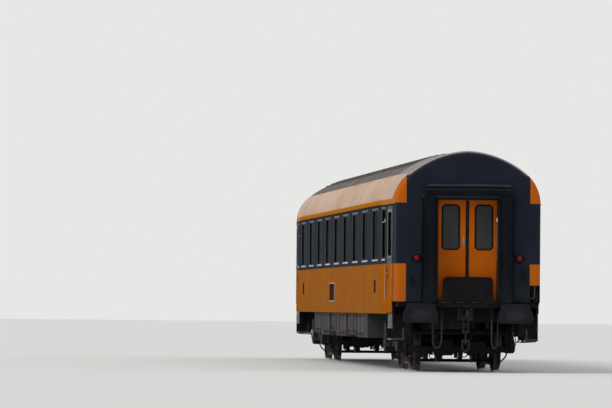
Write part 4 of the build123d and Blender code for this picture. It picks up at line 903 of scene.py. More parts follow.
def side_spot(x: float, y: float, z: float, side: int = 1) -> Spot:
    """A place whose across is along the coach on either side, and whose outward is to one side."""
    return Spot((x, y, z), out=(0, side, 0))


def wall_spot(x: float, height: float, side: int = -1) -> Spot:
    """A place on a side wall's outer face, also on the tapered ends."""
    inset = max(0.0, abs(x) - TAPER_START) * TAPER
    slope = math.copysign(TAPER, x) if abs(x) > TAPER_START else 0.0
    length = math.hypot(1.0, slope)
    across = (1 / length, -side * slope / length, 0.0)
    outward = (slope / length, side / length, 0.0)
    return Spot((x, side * (HALF_WIDTH - inset), height + RAIL_TOP), across, (0, 0, 1), outward)


def end_spot(y: float, height: float, x: float = BODY_END) -> Spot:
    """A place on the rear end wall."""
    return Spot((x, y, height + RAIL_TOP), (0, 1, 0), (0, 0, 1), (1, 0, 0))


class Piece:
    """A new piece of the visual model, gathered from patches of one or more finishes."""

    def __init__(self, name: str, body: str, slot: str) -> None:
        """Start a piece that rides on a body, and keep the name of its slot."""
        self.name, self.body, self.slot = name, body, slot
        self.parts: Parts = []

    def add(self, finish: object, *patches: Patch) -> "Piece":
        """Add patches in one finish."""
        self.parts += in_finish(finish, *patches)
        return self

    def at_ends(self, parts: Parts, *ends: End, mirror: bool = True) -> "Piece":
        """Add parts of the rear left corner at each end, with their mirror images where asked for."""
        for patch, finish in parts:
            for end in ends:
                self.add(finish, *at_end(both_sides([patch]) if mirror else [patch], end))
        return self

    def make(self, *replaces: str, smooth: float = 40.0, weld: float = 2e-5) -> bpy.types.Object:
        """Build the mesh, dress it and tie it to the coach.

        Args:
            replaces: CAD nodes that the piece stands for.
            smooth: sharpest angle between faces that is still shaded smooth, in degrees.
            weld: distance under which points are merged, in metres.

        Returns:
            The new object.
        """
        whole = joined([patch for patch, finish in self.parts])
        finishes = list(dict.fromkeys(finish for patch, finish in self.parts))
        mesh = bpy.data.meshes.new(self.name)
        mesh.from_pydata(whole.points.tolist(), [], whole.quads.tolist() + whole.caps)
        order = [np.full(len(getattr(patch, kind)), finishes.index(finish))
                 for kind in ("quads", "caps") for patch, finish in self.parts]
        for finish in finishes:
            mesh.materials.append(finish.material())
        mesh.polygons.foreach_set("material_index", np.concatenate(order).astype(np.int32))
        solid = bmesh.new()
        solid.from_mesh(mesh)
        bmesh.ops.remove_doubles(solid, verts=solid.verts, dist=weld)
        bmesh.ops.dissolve_degenerate(solid, edges=solid.edges, dist=weld / 2)
        bmesh.ops.recalc_face_normals(solid, faces=solid.faces)
        solid.to_mesh(mesh)
        solid.free()
        mesh.shade_smooth()
        mesh.set_sharp_from_angle(angle=math.radians(smooth))
        made = linked(self.name, mesh)
        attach(made, self.body)
        if replaces:
            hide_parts(*replaces)
        LOG.info("piece %s: %d faces", self.name, len(mesh.polygons))
        return made


def linked(name: str, data: bpy.types.ID) -> bpy.types.Object:
    """A new object in the scene."""
    made = bpy.data.objects.new(name, data)
    bpy.context.scene.collection.objects.link(made)
    return made


# The body's ends

@dataclass
class BrakeHoses:
    """Four brake hoses, each hanging in a loop from its cock to its holder."""

    start_x: float = 12.65
    start_y: float = 0.6
    turn: float = math.radians(28.5)
    radius: float = 0.015
    length: float = 1.336
    side_view: tuple = ((0, 1.0), (0, 0.86), (0.005, 0.7), (0, 0.52), (0.055, 0.444), (0.144, 0.415),
                        (0.234, 0.444), (0.289, 0.52), (0.294, 0.7), (0.289, 0.86), (0.289, 1.0))

    def route(self, end: End, hand: str) -> list[tuple[float, float, float]]:
        """The route's points; left is always the side of negative y."""
        side = -1 if hand == "left" else 1
        return [(end.value * (self.start_x + along * math.cos(self.turn)),
                 side * (self.start_y - along * math.sin(self.turn)), height + RAIL_TOP)
                for along, height in self.side_view]

    def build(self) -> None:
        """Make the hoses as smooth curves."""
        for end in End:
            for hand in ("left", "right"):
                points = self.route(end, hand)
                curve = bpy.data.curves.new(f"hose_{end.word}_{hand}", "CURVE")
                curve.dimensions, curve.bevel_depth, curve.bevel_resolution = "3D", self.radius, 4
                curve.resolution_u, curve.use_fill_caps = 10, True
                spline = curve.splines.new("NURBS")
                spline.points.add(len(points) - 1)
                for point, place in zip(spline.points, points):
                    point.co = (*place, 1.0)
                spline.order_u, spline.use_endpoint_u = 3, True
                curve.materials.append(HOSE.material())
                made = linked(curve.name, curve)
                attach(made, "carbody")
                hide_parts(f"brake_hose_{end.word}_{hand}")

    def sleeves(self) -> list[Patch]:
        """Ribbed metal sleeves where the rear left hose leaves its cock and enters its holder."""
        profile = [(0.0, 0.012), (0.024, 0.012), (0.024, -0.012), (0.021, -0.016), (0.021, -0.03),
                   (0.024, -0.034), (0.024, -0.05), (0.019, -0.058), (0.012, -0.06), (0.0, -0.06)]
        points = self.route(End.REAR, "left")
        return [facing(points[index], (0, 0, 1)).disc(profile, 16) for index in (0, -1)]


@dataclass
class EndShell:
    """End walls with rounded edges, the doorway's reveal and the shunter's notch."""

    edge: float = 0.10
    haunch_r: float = 0.734
    haunch_y: float = 0.606
    haunch_z: float = 3.093
    haunch_angle: float = math.atan2(3.065 - 2.25231, 0.6785)
    roof_r: float = 1.79269
    roof_z: float = 2.28031
    inset: float = 0.0725
    notch_z: float = 1.58 + RAIL_TOP
    door_y: float = 0.55
    door_z: float = 3.14 + RAIL_TOP
    side_rows: int = 14
    wide_rows: int = 18

    def half(self, offset: float, low: float) -> np.ndarray:
        """Right half of the outline, moved inwards: a line, a tight arc and a wide arc."""
        tight_r, wide_r = self.haunch_r - offset, self.roof_r - offset
        line = np.linspace(low, self.haunch_z, self.side_rows)
        side = np.stack([np.full(self.side_rows, self.haunch_y + tight_r), line], -1)
        turn = np.linspace(0, self.haunch_angle, self.side_rows)[1:]
        tight = np.stack([self.haunch_y + tight_r * np.cos(turn),
                          self.haunch_z + tight_r * np.sin(turn)], -1)
        turn = np.linspace(self.haunch_angle, math.acos(self.inset / wide_r), self.wide_rows)[1:]
        wide = np.stack([wide_r * np.cos(turn) - self.inset, self.roof_z + wide_r * np.sin(turn)], -1)
        return np.concatenate([side, tight, wide])

    def inner(self, low: float) -> np.ndarray:
        """Doorway's outline with as many points as half() has."""
        heights = np.concatenate([np.linspace(low, self.haunch_z, self.side_rows),
                                  np.linspace(self.haunch_z, self.door_z, self.side_rows)[1:]])
        head = np.linspace(self.door_y, 0, self.wide_rows)[1:]
        return np.concatenate([np.stack([np.full(len(heights), self.door_y), heights], -1),
                               np.stack([head, np.full(len(head), self.door_z)], -1)])

    def skin(self, side: int, low: float) -> Patch:
        """One half of the end as a closed shell: rounded edge, flat face, doorway reveal and back."""
        rows = [(END_INNER, self.half(0.0, low)), (BODY_END - self.edge, self.half(0.0, low))]
        for turn in np.linspace(0, np.pi / 2, 11)[1:]:
            rows.append((BODY_END - self.edge * (1 - math.sin(turn)),
                         self.half(self.edge * (1 - math.cos(turn)), low)))
        outer, inner = self.half(self.edge, low), self.inner(low)
        rows += [(BODY_END, outer + (inner - outer) * share) for share in (0.35, 0.7, 1.0)]
        rows.append((END_INNER, inner))
        points = [np.column_stack([np.full(len(yz), x), side * yz[:, 0], yz[:, 1]]) for x, yz in rows]
        patch = grid(np.stack(points), loop_rows=True)
        patch.caps = [[row * len(outer) for row in range(len(rows))]]
        return patch

    def lip(self) -> Patch:
        """Stiffening lip round the notch."""
        x, z = BODY_END - 0.02, self.notch_z
        path = bend([(x, NOTCH_Y, z - 0.33), (x, NOTCH_Y, z - 0.006), (x, 1.33, z - 0.006)], 0.02)
        return tube(path, 0.009, 8, (1, 0, 0))

    def build(self) -> None:
        """Make both end walls."""
        lower = soft_block((END_INNER, self.door_y, SILL_LOW), (BODY_END, NOTCH_Y, self.notch_z), 0.003)
        wall = [self.skin(-1, SILL_LOW), self.skin(1, self.notch_z), lower]
        for end in End:
            piece = Piece(f"end_shell_{end.word}", "carbody", "end_paint")
            piece.add(END_PAINT, *at_end(wall, end)).add(BLACK, *at_end([self.lip()], end))
            piece.make(f"end_wall_{end.word}", smooth=30)


@dataclass
class Gangway:
    """Rubber gangway: ribbed uprights, a double roll with slanted ends, its hood and feet."""

    depth: float = 0.130
    inner: float = 0.58
    outer: float = 0.83
    low: float = 1.25 + RAIL_TOP
    head: float = 3.20 + RAIL_TOP
    top: float = 3.43 + RAIL_TOP
    groove: float = 3.355 + RAIL_TOP

    def upright(self) -> Patch:
        """Left upright: a power curve of cosine and sine with shallow ribs, carried up."""
        turn = np.linspace(0, np.pi, 57)
        width, middle = (self.outer - self.inner) / 2, (self.outer + self.inner) / 2
        across = np.sign(np.cos(turn)) * np.abs(np.cos(turn)) ** 0.45 * width
        out = np.abs(np.sin(turn)) ** 0.4 * (self.depth - 0.006 * np.cos(turn * 14) ** 4)
        heights = np.linspace(self.low, self.head, 28)[:, None]
        points = np.broadcast_arrays(BODY_END + out, -middle + across, heights)
        return grid(np.stack(points, -1), loop_cols=True, closed=True)

    def roll(self) -> Patch:
        """Upper roll: a power curve with one deep groove, longer below than above."""
        turn = np.linspace(0, np.pi, 61)
        tall, middle = (self.top - self.head) / 2, (self.top + self.head) / 2
        up = np.sign(np.cos(turn)) * np.abs(np.cos(turn)) ** 0.6 * tall
        cut = 0.05 * np.exp(-((middle + up - self.groove) / 0.010) ** 2)
        out = np.maximum(np.abs(np.sin(turn)) ** 0.5 * self.depth - cut, 0.0)
        share = np.linspace(-1, 1, 44)[:, None]
        y = share * (0.757 + 0.07 * (0.5 - up / tall / 2))
        z = middle + up - 0.008 * share ** 2
        points = np.stack([np.broadcast_to(BODY_END + out, y.shape), y, z], -1)
        return grid(points, loop_cols=True, closed=True)

    def hood(self) -> Patch:
        """Rubber apron under the roll, wider at its lower edge."""
        outline = rounded_polygon(mirrored([(0.885, 3.150), (0.845, 3.240)]), 0.02)
        return end_spot(0, 0).plate(outline, 0.0, 0.105, 0.014)

    def foot(self) -> Patch:
        """Left foot: a flared plate under the upright."""
        corners = [(-0.865, 1.165), (-0.58, 1.165), (-0.58, 1.25), (-0.83, 1.25), (-0.865, 1.20)]
        return end_spot(0, 0).plate(rounded_polygon(corners, 0.012), 0.0, 0.09, 0.008)

    def clamp(self) -> list[Patch]:
        """Clamping strips beside the left upright, with their bolts."""
        thick = 0.012
        strip = soft_block((BODY_END, -0.862, 1.30), (BODY_END + thick, -0.832, 3.14), 0.003)
        return [strip, *(end_spot(-0.847, height, BODY_END + thick).bolt(0, 0, 0.007, 0.006)
                         for height in np.linspace(1.36, 3.06, 14))]

    def build(self) -> None:
        """Make the gangways of both ends as one piece."""
        piece = Piece("gangway_rubber", "carbody", "tube_rubber")
        for end in End:
            piece.add(RUBBER, *at_end([*both_sides([self.upright()]), self.roll(), self.hood()], end))
            piece.add(BLACK, *at_end(both_sides([self.foot(), *self.clamp()]), end))
        piece.make("gangway_tubes", smooth=50)


@dataclass
class EndDoors:
    """What the sliding leaves carry: window rubbers, edge seals, handle and kick strip."""

    face: float = 12.885
    glass_y: float = 0.305
    glass_h: float = 2.64
    low: float = 1.258
    high: float = 3.16
    grip_y: float = -0.066

    def leaf(self, side: int) -> Parts:
        """What the rear leaf on one side carries."""
        rubber = [(-0.022, -0.001), (-0.021, 0.006), (-0.012, 0.009), (0.002, 0.007), (0.007, 0.0),
                  (0.007, -0.008), (-0.004, -0.008)]
        seal, edge, kick = (end_spot(side * y, 0, self.face) for y in (0.0175, 0.531, 0.276))
        foot, top = self.low + 0.01, self.high - 0.03
        glass = end_spot(side * self.glass_y, self.glass_h, self.face)
        made = in_finish(RUBBER, glass.ring(0.3, 0.8, 0.06, rubber, 8),
                         seal.block((-0.0135, foot, -0.006), (0.0135, top, 0.007), 0.005))
        made += in_finish(DOOR, edge.block((-0.014, foot, -0.004), (0.014, top, 0.005), 0.003),
                          kick.block((-0.24, self.low + 0.012, -0.004), (0.24, self.low + 0.05, 0.004),
                                     0.003))
        if side < 0:
            spot = end_spot(self.grip_y, 2.375, self.face)
            made += in_finish(PALE, spot.grip(-0.06, 0.06, 0.035, 0.016, 0.008),
                              spot.block((-0.017, -0.085, 0), (0.017, 0.085, 0.004), 0.003))
        return made

    def build(self) -> None:
        """Make the add-ons of the four leaves."""
        for end in End:
            for side in SIDES:
                leaf = f"{end.word}_{'left' if side * end.value < 0 else 'right'}"
                piece = Piece(f"door_trim_{leaf}", f"end_door_{leaf}", "door_paint")
                piece.at_ends(self.leaf(side), end, mirror=False).make()


@dataclass
class BridgePlates:
    """Raised footplates with rounded top corners, ribs, studs and hinge knuckles."""

    back: float = 13.056
    front: float = 13.086
    low: float = 1.258
    height: float = 0.47
    half: float = 0.465

    def rib(self, y0: float, y1: float, low: float, high: float) -> Patch:
        """A raised rib on the plate's front between two places across and two heights."""
        return soft_block((self.front - 0.008, y0, low + RAIL_TOP),
                          (self.front + 0.002, y1, high + RAIL_TOP), 0.004)

    def parts(self) -> list[Patch]:
        """Patches of the rear plate."""
        top = self.low + self.height
        corner = [(self.half, self.low), (self.half, top - 0.07), (self.half - 0.022, top - 0.022),
                  (self.half - 0.07, top)]
        outline = rounded_polygon(mirrored(corner), 0.026, 5)
        parts = [end_spot(0, 0, 0.0).plate(outline, self.back + 0.004, self.front - 0.004, 0.004)]
        parts += [self.rib(y - 0.016, y + 0.016, self.low + 0.09, top - 0.05)
                  for y in (-0.33, -0.11, 0.11, 0.33)]
        parts += [self.rib(-self.half + 0.06, self.half - 0.06, z - 0.012, z + 0.012)
                  for z in (self.low + 0.045, top - 0.03)]
        for row, z in enumerate(np.arange(self.low + 0.07, top - 0.04, 0.055)):
            for y in np.arange(-0.42 + 0.03 * (row % 2), 0.43, 0.06):
                stud = facing((self.back + 0.0045, y, z + RAIL_TOP), (-1, 0, 0))
                parts.append(stud.disc([(0.014, 0), (0.007, 0.0035), (0, 0.0035)], 4))
        return parts

    def knuckles(self) -> list[Patch]:
        """Hinge tube in short lengths, each closed at both ends."""
        profile = drum(0.015, 0.0, 0.12, 0.002, 0.002)
        return [revolve(profile, (self.back + 0.015, start, self.low + RAIL_TOP), "y", 16)
                for start in (-0.45, -0.20, 0.08, 0.33)]

    def build(self) -> None:
        """Make both plates."""
        for end in End:
            piece = Piece(f"footplate_{end.word}", f"bridge_plate_{end.word}", "frame_paint")
            piece.add(PLATE, *at_end(self.parts(), end)).add(STEEL, *at_end(self.knuckles(), end))
            piece.make(f"bridge_plate_{end.word}", smooth=35)


# Windows, doors and signs of the sides

@dataclass
class SideWindows:
    """Alloy window frames with round corners, a hinged top light and the panes' rubber."""

    width: float = 1.4
    low: float = 2.03
    high: float = 3.015
    corner: float = 0.07
    small_x: float = 11.25
    small_width: float = 0.64
    light: float = 0.27
    inset: float = 0.05

    def places(self) -> list[tuple[float, float]]:
        """Centre and width of each window along a side."""
        wide = [((index - BAYS // 2) * BAY, self.width) for index in range(BAYS)]
        return [(-self.small_x, self.small_width), *wide, (self.small_x, self.small_width)]

    def window(self, spot: Spot, width: float) -> Parts:
        """Frame, rubber, sill and drip rail of one window, and a small window's bar and latch."""
        frame_profile = [(-0.004, -0.018), (-0.004, 0.003), (0.002, 0.007), (0.022, 0.007), (0.030, 0.002),
                         (0.034, -0.006), (0.034, -0.018)]
        rubber = [(0.031, -0.002), (0.041, -0.003), (0.046, -0.008), (0.046, -0.017), (0.031, -0.017)]
        tall, half, edge = self.high - self.low, (self.high - self.low) / 2, width / 2 - self.inset
        made = in_finish(FRAME, spot.ring(width, tall, self.corner, frame_profile))
        made += in_finish(RUBBER, spot.ring(width, tall, self.corner, rubber))
        made += in_finish(SILL, spot.block((-edge, -half - 0.004, 0.004), (edge, -half + 0.026, 0.011),
                                           0.003))
        made += in_finish(ALLOY, spot.block((-edge, half - 0.018, 0.004), (edge, half + 0.004, 0.010),
                                            0.003))
        if width < 1:
            reach, bar_up = width / 2 - 0.038, half - self.light
            made += in_finish(ALLOY, spot.block((-reach, bar_up - 0.014, -0.015),
                                                (reach, bar_up + 0.014, 0.001)))
            made += in_finish(SILL, spot.block((0.02, bar_up + 0.02, -0.015), (0.16, bar_up + 0.05, -0.004)))
        return made

    def build(self) -> None:
        """Make the frames of both sides as one piece."""
        piece = Piece("window_surrounds", "carbody", "frame_alloy")
        for side in SIDES:
            for x, width in self.places():
                piece.parts += self.window(wall_spot(x, (self.high + self.low) / 2, side), width)
        piece.make("window_frames")


@dataclass
class EntranceTrim:
    """Alloy window frames, seals, handles and grab rails of the entrance doors."""

    middle: float = 12.2
    glass_h: float = 2.5125
    glass_w: float = 0.62
    glass_tall: float = 0.845

    def parts(self, end: End, side: int) -> Parts:
        """The trim of one entrance door."""
        def spot(off: float, height: float) -> Spot:
            """A place on the wall, off the door's middle towards the coach's end."""
            return wall_spot(end.value * (self.middle + off), height, side)

        leaf, window, handle = spot(0.0, 2.0425), spot(0.0, self.glass_h), spot(-0.33, 1.78)
        seam = [(-0.004, -0.004), (-0.003, 0.003), (0.006, 0.003), (0.008, -0.004)]
        alloy = [(0.0, -0.002), (0.001, 0.006), (0.006, 0.009), (0.048, 0.009), (0.055, 0.004),
                 (0.057, -0.016), (0.05, -0.016)]
        rubber = [(0.0, -0.004), (0.012, -0.006), (0.014, -0.018), (0.0, -0.018)]
        bowl = [(0, -0.001), (0.001, 0.004), (0.008, 0.005), (0.012, 0.0), (0.012, -0.004)]
        knob = [(0, 0.020), (0.016, 0.019), (0.018, 0.016), (0.018, 0.0), (0, 0.0)]
        made = in_finish(RUBBER, leaf.ring(0.872, 1.975, 0.05, seam, 5))
        made += in_finish(ALLOY, window.ring(self.glass_w + 0.11, self.glass_tall + 0.07, 0.10, alloy, 7))
        made += in_finish(RUBBER, window.ring(self.glass_w - 0.004, self.glass_tall - 0.004, 0.06, rubber))
        made += in_finish(BLACK, handle.ring(0.11, 0.17, 0.03, bowl, 5))
        made += in_finish(PALE, handle.block((-0.03, -0.012, 0.002), (0.042, 0.012, 0.018), 0.006),
                          handle.disc(knob, 16))
        rails = [(-0.5, 1.30)] + ([(0.49, 1.36)] if end.value * side < 0 else [])
        made += in_finish(PALE, *(spot(off, 0).grip(low, 1.93, 0.024, 0.018, 0.009) for off, low in rails))
        low, high = (-0.012, -0.05, -0.002), (0.012, 0.05, 0.010)
        return made + in_finish(LIVERY, *(spot(0.452, height).block(low, high, 0.005)
                                          for height in (1.28, 2.05, 2.82)))

    def build(self) -> None:
        """Make the trim of the four doors as one piece."""
        piece = Piece("entrance_trim", "carbody", "frame_alloy")
        for end in End:
            for side in SIDES:
                piece.parts += self.parts(end, side)
        piece.make()


@dataclass
class StepTrim:
    """Nosings, tread bars, fronts and hangers of the entrance steps."""

    x0: float = 11.76
    x1: float = 12.58
    inner: float = 1.12
    outer: float = 1.352
    tread: float = 0.56 + RAIL_TOP
    box_low: float = 0.775 + RAIL_TOP

    def parts(self) -> Parts:
        """Patches of the rear left steps."""
        x0, x1, inner, outer, tread = self.x0, self.x1, -self.inner, -self.outer, self.tread
        nosing = soft_block((x0 - 0.004, outer - 0.006, -0.004), (x1 + 0.004, outer + 0.026, 0.028))
        made = in_finish(ALLOY, *(nosing.at(0, 0, z) for z in (tread, self.box_low)))
        for low, high in ((x0 - 0.010, x0 + 0.002), (x1 - 0.002, x1 + 0.010)):
            made += in_finish(
                DAMPER, soft_block((low, outer + 0.03, tread - 0.004), (high, inner, tread + 0.036), 0.004),
                soft_block((low, inner - 0.036, tread + 0.03), (high, inner, self.box_low + 0.01), 0.004))
        face = facing(((x0 + x1) / 2, outer, 0.925), (0, -1, 0))
        bar = soft_block((x0 + 0.03, -0.005, tread + 0.020), (x1 - 0.03, 0.005, tread + 0.030), 0.003, 1)
        rim = [(0, -0.002), (0.002, 0.005), (0.012, 0.005), (0.016, -0.002)]
        made += in_finish(STEP, *(bar.at(0, -y, 0)
                                  for y in np.arange(self.inner + 0.03, self.outer - 0.03, 0.024)),
                          face.ring(0.76, 0.17, 0.03, rim, 5))
        made += in_finish(STEEL, *face.bolts((-0.3, -0.1, 0.1, 0.3), (0.0,), 0.009, 0.008))
        hanger = tube(bend([(0, inner + 0.02, tread + 0.01), (0, inner + 0.09, tread - 0.03),
                            (0, outer + 0.03, tread - 0.012)], 0.03), 0.010, 8, (1, 0, 0))
        made += in_finish(BLACK, hanger.at(x0 + 0.05, 0, 0), hanger.at(x1 - 0.05, 0, 0))
        strip = soft_block((x0 + 0.01, outer + 0.002, 1.06), (x1 - 0.01, outer + 0.020, 1.0775), 0.004)
        made += in_finish(RUBBER, strip)
        for x in (x0 - 0.01, x1 - 0.02):
            made += in_finish(BLACK, soft_block((x - 0.02, inner - 0.02, 0.66), (x + 0.02, -0.99, 1.06)),
                              soft_block((x - 0.02, inner - 0.02, 0.60), (x + 0.02, inner + 0.05, 0.70)))
        return made

    def build(self) -> None:
        """Make the trim of the four sets of steps as one piece."""
        Piece("step_trim", "carbody", "step_steel").at_ends(self.parts(), *End).make()


@dataclass
class Displays:
    """Destination displays and small displays: pale frames round dark glass."""

    large: tuple = (1.4, 1.262, 1.655, 0.02)
    small: tuple = (0.27, 1.43, 1.67, 0.008)
    small_x: float = 9.52

    def build(self) -> None:
        """Make the displays of both sides as one piece."""
        piece = Piece("display_frames", "carbody", "sign_glass")
        for side in SIDES:
            for x, size, finish in ((side * 1.19, self.large, PALE), (-self.small_x, self.small, SIGN),
                                    (self.small_x, self.small, SIGN)):
                width, low, high, lip = size
                spot = wall_spot(x, (low + high) / 2, side)
                piece.add(finish, spot.ring(width, high - low, 0.03, [
                    (0, -0.001), (0, 0.007), (0.003, 0.010), (lip, 0.010), (lip + 0.004, 0.006),
                    (lip + 0.004, -0.001)], 5))
                loop = rounded_loop(width - 2 * lip, high - low - 2 * lip, 0.02, 5)
                piece.add(SIGN, spot.plate(loop, 0.0, 0.0075, 0.001))
        piece.make("side_signs")


# Draw gear and buffers

@dataclass
class Buffers:
    """Buffers with flanged cases, stepped plungers and crowned wide heads."""

    y: float = 0.875
    height: float = 1.06
    back: float = 12.605

    def parts(self) -> Parts:
        """Patches of the rear left buffer."""
        y, z = -self.y, self.height + RAIL_TOP
        case = [(0.0, 12.60), (0.142, 12.60), (0.142, 12.622), (0.118, 12.634), (0.108, 12.66),
                (0.105, 12.70), (0.105, 12.858), (0.113, 12.866), (0.113, 12.902), (0.109, 12.91),
                (0.088, 12.912), (0.0, 12.912)]
        plunger = [(0.0, 12.90), (0.080, 12.90), (0.082, 12.92), (0.082, 13.10), (0.086, 13.118),
                   (0.105, 13.138), (0.125, 13.150), (0.125, 13.165), (0.0, 13.165)]
        outline = rounded_polygon(mirrored([(0.285, -0.18), (0.32, -0.145), (0.32, 0.0), (0.245, 0.145),
                                            (0.21, 0.18)]), 0.05, 6)
        crown = [(0.0, 13.160), (0.5, 13.160), (0.95, 13.158), (0.985, 13.163), (1.0, 13.172),
                 (0.995, 13.181), (0.975, 13.186), (0.85, 13.191), (0.65, 13.196), (0.4, 13.199),
                 (0.2, 13.2), (0.0, 13.2)]
        made = in_finish(STEEL, *(revolve(profile, (0.0, y, z), "x", 48) for profile in (case, plunger)))
        made += in_finish(BUFFER_HEAD, facing((0.0, y, z), (1, 0, 0)).shell(outline, crown))
        base = soft_block((HEADSTOCK, y - 0.16, z - 0.15), (self.back, y + 0.16, z + 0.11), 0.01)
        bolts = end_spot(y, self.height, self.back).bolts((-0.125, 0.125), (-0.115, 0.08), 0.017, 0.016)
        web = soft_block((12.60, y - 0.012, z - 0.145), (12.70, y + 0.012, z - 0.09), 0.006)
        return made + in_finish(STEEL, base, *bolts, web)

    def build(self) -> None:
        """Make the four buffers as one piece."""
        Piece("buffer_set", "carbody", "buffer_steel").at_ends(self.parts(), *End).make("buffers", smooth=32)


@dataclass
class DrawGear:
    """Draw hooks with their guide plates, and screw couplings on their pins."""

    height: float = 1.045
    pin: float = 0.15
    drop: float = 0.32
    hook_view: tuple = ((0, -35), (210, -35), (250, -75), (400, -75), (430, -30), (430, 70), (395, 108),
                        (365, 70), (365, 28), (345, 6), (310, 6), (290, 28), (280, 60), (235, 60), (205, 35),
                        (0, 35))
    link_view: tuple = ((-30, 32), (-30, -40), (-20, -90), (-20, -250), (-32, -300), (-32, -352))

    def hook(self) -> list[Patch]:
        """Rear hook: the rounded side view made thick, and its bolted plate."""
        z = self.height + RAIL_TOP
        outline = rounded_polygon([(a / 1000, b / 1000) for a, b in self.hook_view], 0.026, 5)
        plate = soft_block((HEADSTOCK, -0.15, z - 0.12), (HEADSTOCK + 0.022, 0.15, z + 0.12))
        seat = end_spot(0, self.height, HEADSTOCK + 0.022)
        collar = seat.ring(0.10, 0.11, 0.02, [(0, 0), (0.0, 0.02), (0.006, 0.026), (0.014, 0.026),
                                              (0.014, 0)], 4)
        return [side_spot(HEADSTOCK, 0, z).plate(outline, -0.032, 0.032, 0.010), plate, collar,
                *seat.bolts((-0.118, 0.118), (-0.09, 0.09), 0.014, 0.014)]

    def screw(self, x: float, z: float) -> Patch:
        """Threaded screw: a circle whose radius swells with the height minus the angle."""
        rows, angle = np.linspace(-0.545, -0.30, 90)[:, None], circle(20)
        radius = 0.0215 + 0.0022 * np.sin(2 * np.pi * rows / 0.014 - angle)
        radius[0], radius[-1] = 0.0, 0.0
        return grid(np.stack([x + radius * np.cos(angle), radius * np.sin(angle),
                              np.broadcast_to(z + rows, radius.shape)], -1), loop_cols=True)

    def coupling(self) -> list[Patch]:
        """Rear screw coupling: pins, two links, threaded screw, nut, bow and lever."""
        x, z = HEADSTOCK + self.pin, self.height + RAIL_TOP
        parts = [revolve(drum(0.022, -0.068, 0.068, 0.003, 0.003), (x, 0, z), "y", 24),
                 revolve(drum(0.025, -0.070, 0.070, 0.003, 0.004), (x, 0, z - self.drop), "y", 24)]
        left = [(a / 1000, b / 1000) for a, b in self.link_view]
        link = rounded_polygon(left + [(-a, b) for a, b in reversed(left)], 0.02, 5)
        parts += [side_spot(x, 0, z).plate(link, low, low + 0.023, 0.005) for low in (-0.063, 0.040)]
        nut = soft_block((x - 0.036, -0.068, z - 0.52), (x + 0.036, 0.068, z - 0.46), 0.014, 3)
        parts += [self.screw(x, z), nut,
                  revolve(drum(0.024, -0.078, 0.078, 0.004, 0.004), (x, 0, z - 0.49), "y", 20)]
        turn = np.linspace(0, np.pi, 15)
        bow = np.column_stack([-0.058 * np.cos(turn), -0.622 - 0.056 * np.sin(turn)])
        bow = np.concatenate([[(-0.058, -0.47)], bow, [(0.058, -0.47)]])
        parts.append(tube(side_spot(x, 0, z).put(0.0, bow[:, 1], bow[:, 0]), 0.0175, 14, (1, 0, 0)))
        lever = bend([(0.0, 0.0, -0.395), (0.05, 0.0, -0.40), (0.062, 0.0, -0.445), (0.062, 0.0, -0.53)],
                     0.03)
        parts.append(tube(lever + (x, 0, z), 0.009, 10, (0, 1, 0)))
        ball = np.linspace(0, np.pi, 11)
        ball = np.column_stack([0.021 * np.sin(ball), -0.021 * np.cos(ball)])
        return [*parts, revolve(ball, (x + 0.062, 0, z - 0.545), "z", 18)]

    def build(self) -> None:
        """Make both hooks as one piece, and a coupling at each end."""
        piece = Piece("hook_set", "carbody", "buffer_steel")
        for end in End:
            piece.add(HOOK, *at_end(self.hook(), end))
        piece.make("draw_hooks")
        for end in End:
            name = f"screw_coupling_{end.word}"
            piece = Piece(f"coupling_{end.word}", name, "buffer_steel")
            piece.add(HOOK, *at_end(self.coupling(), end)).make(name, smooth=35)


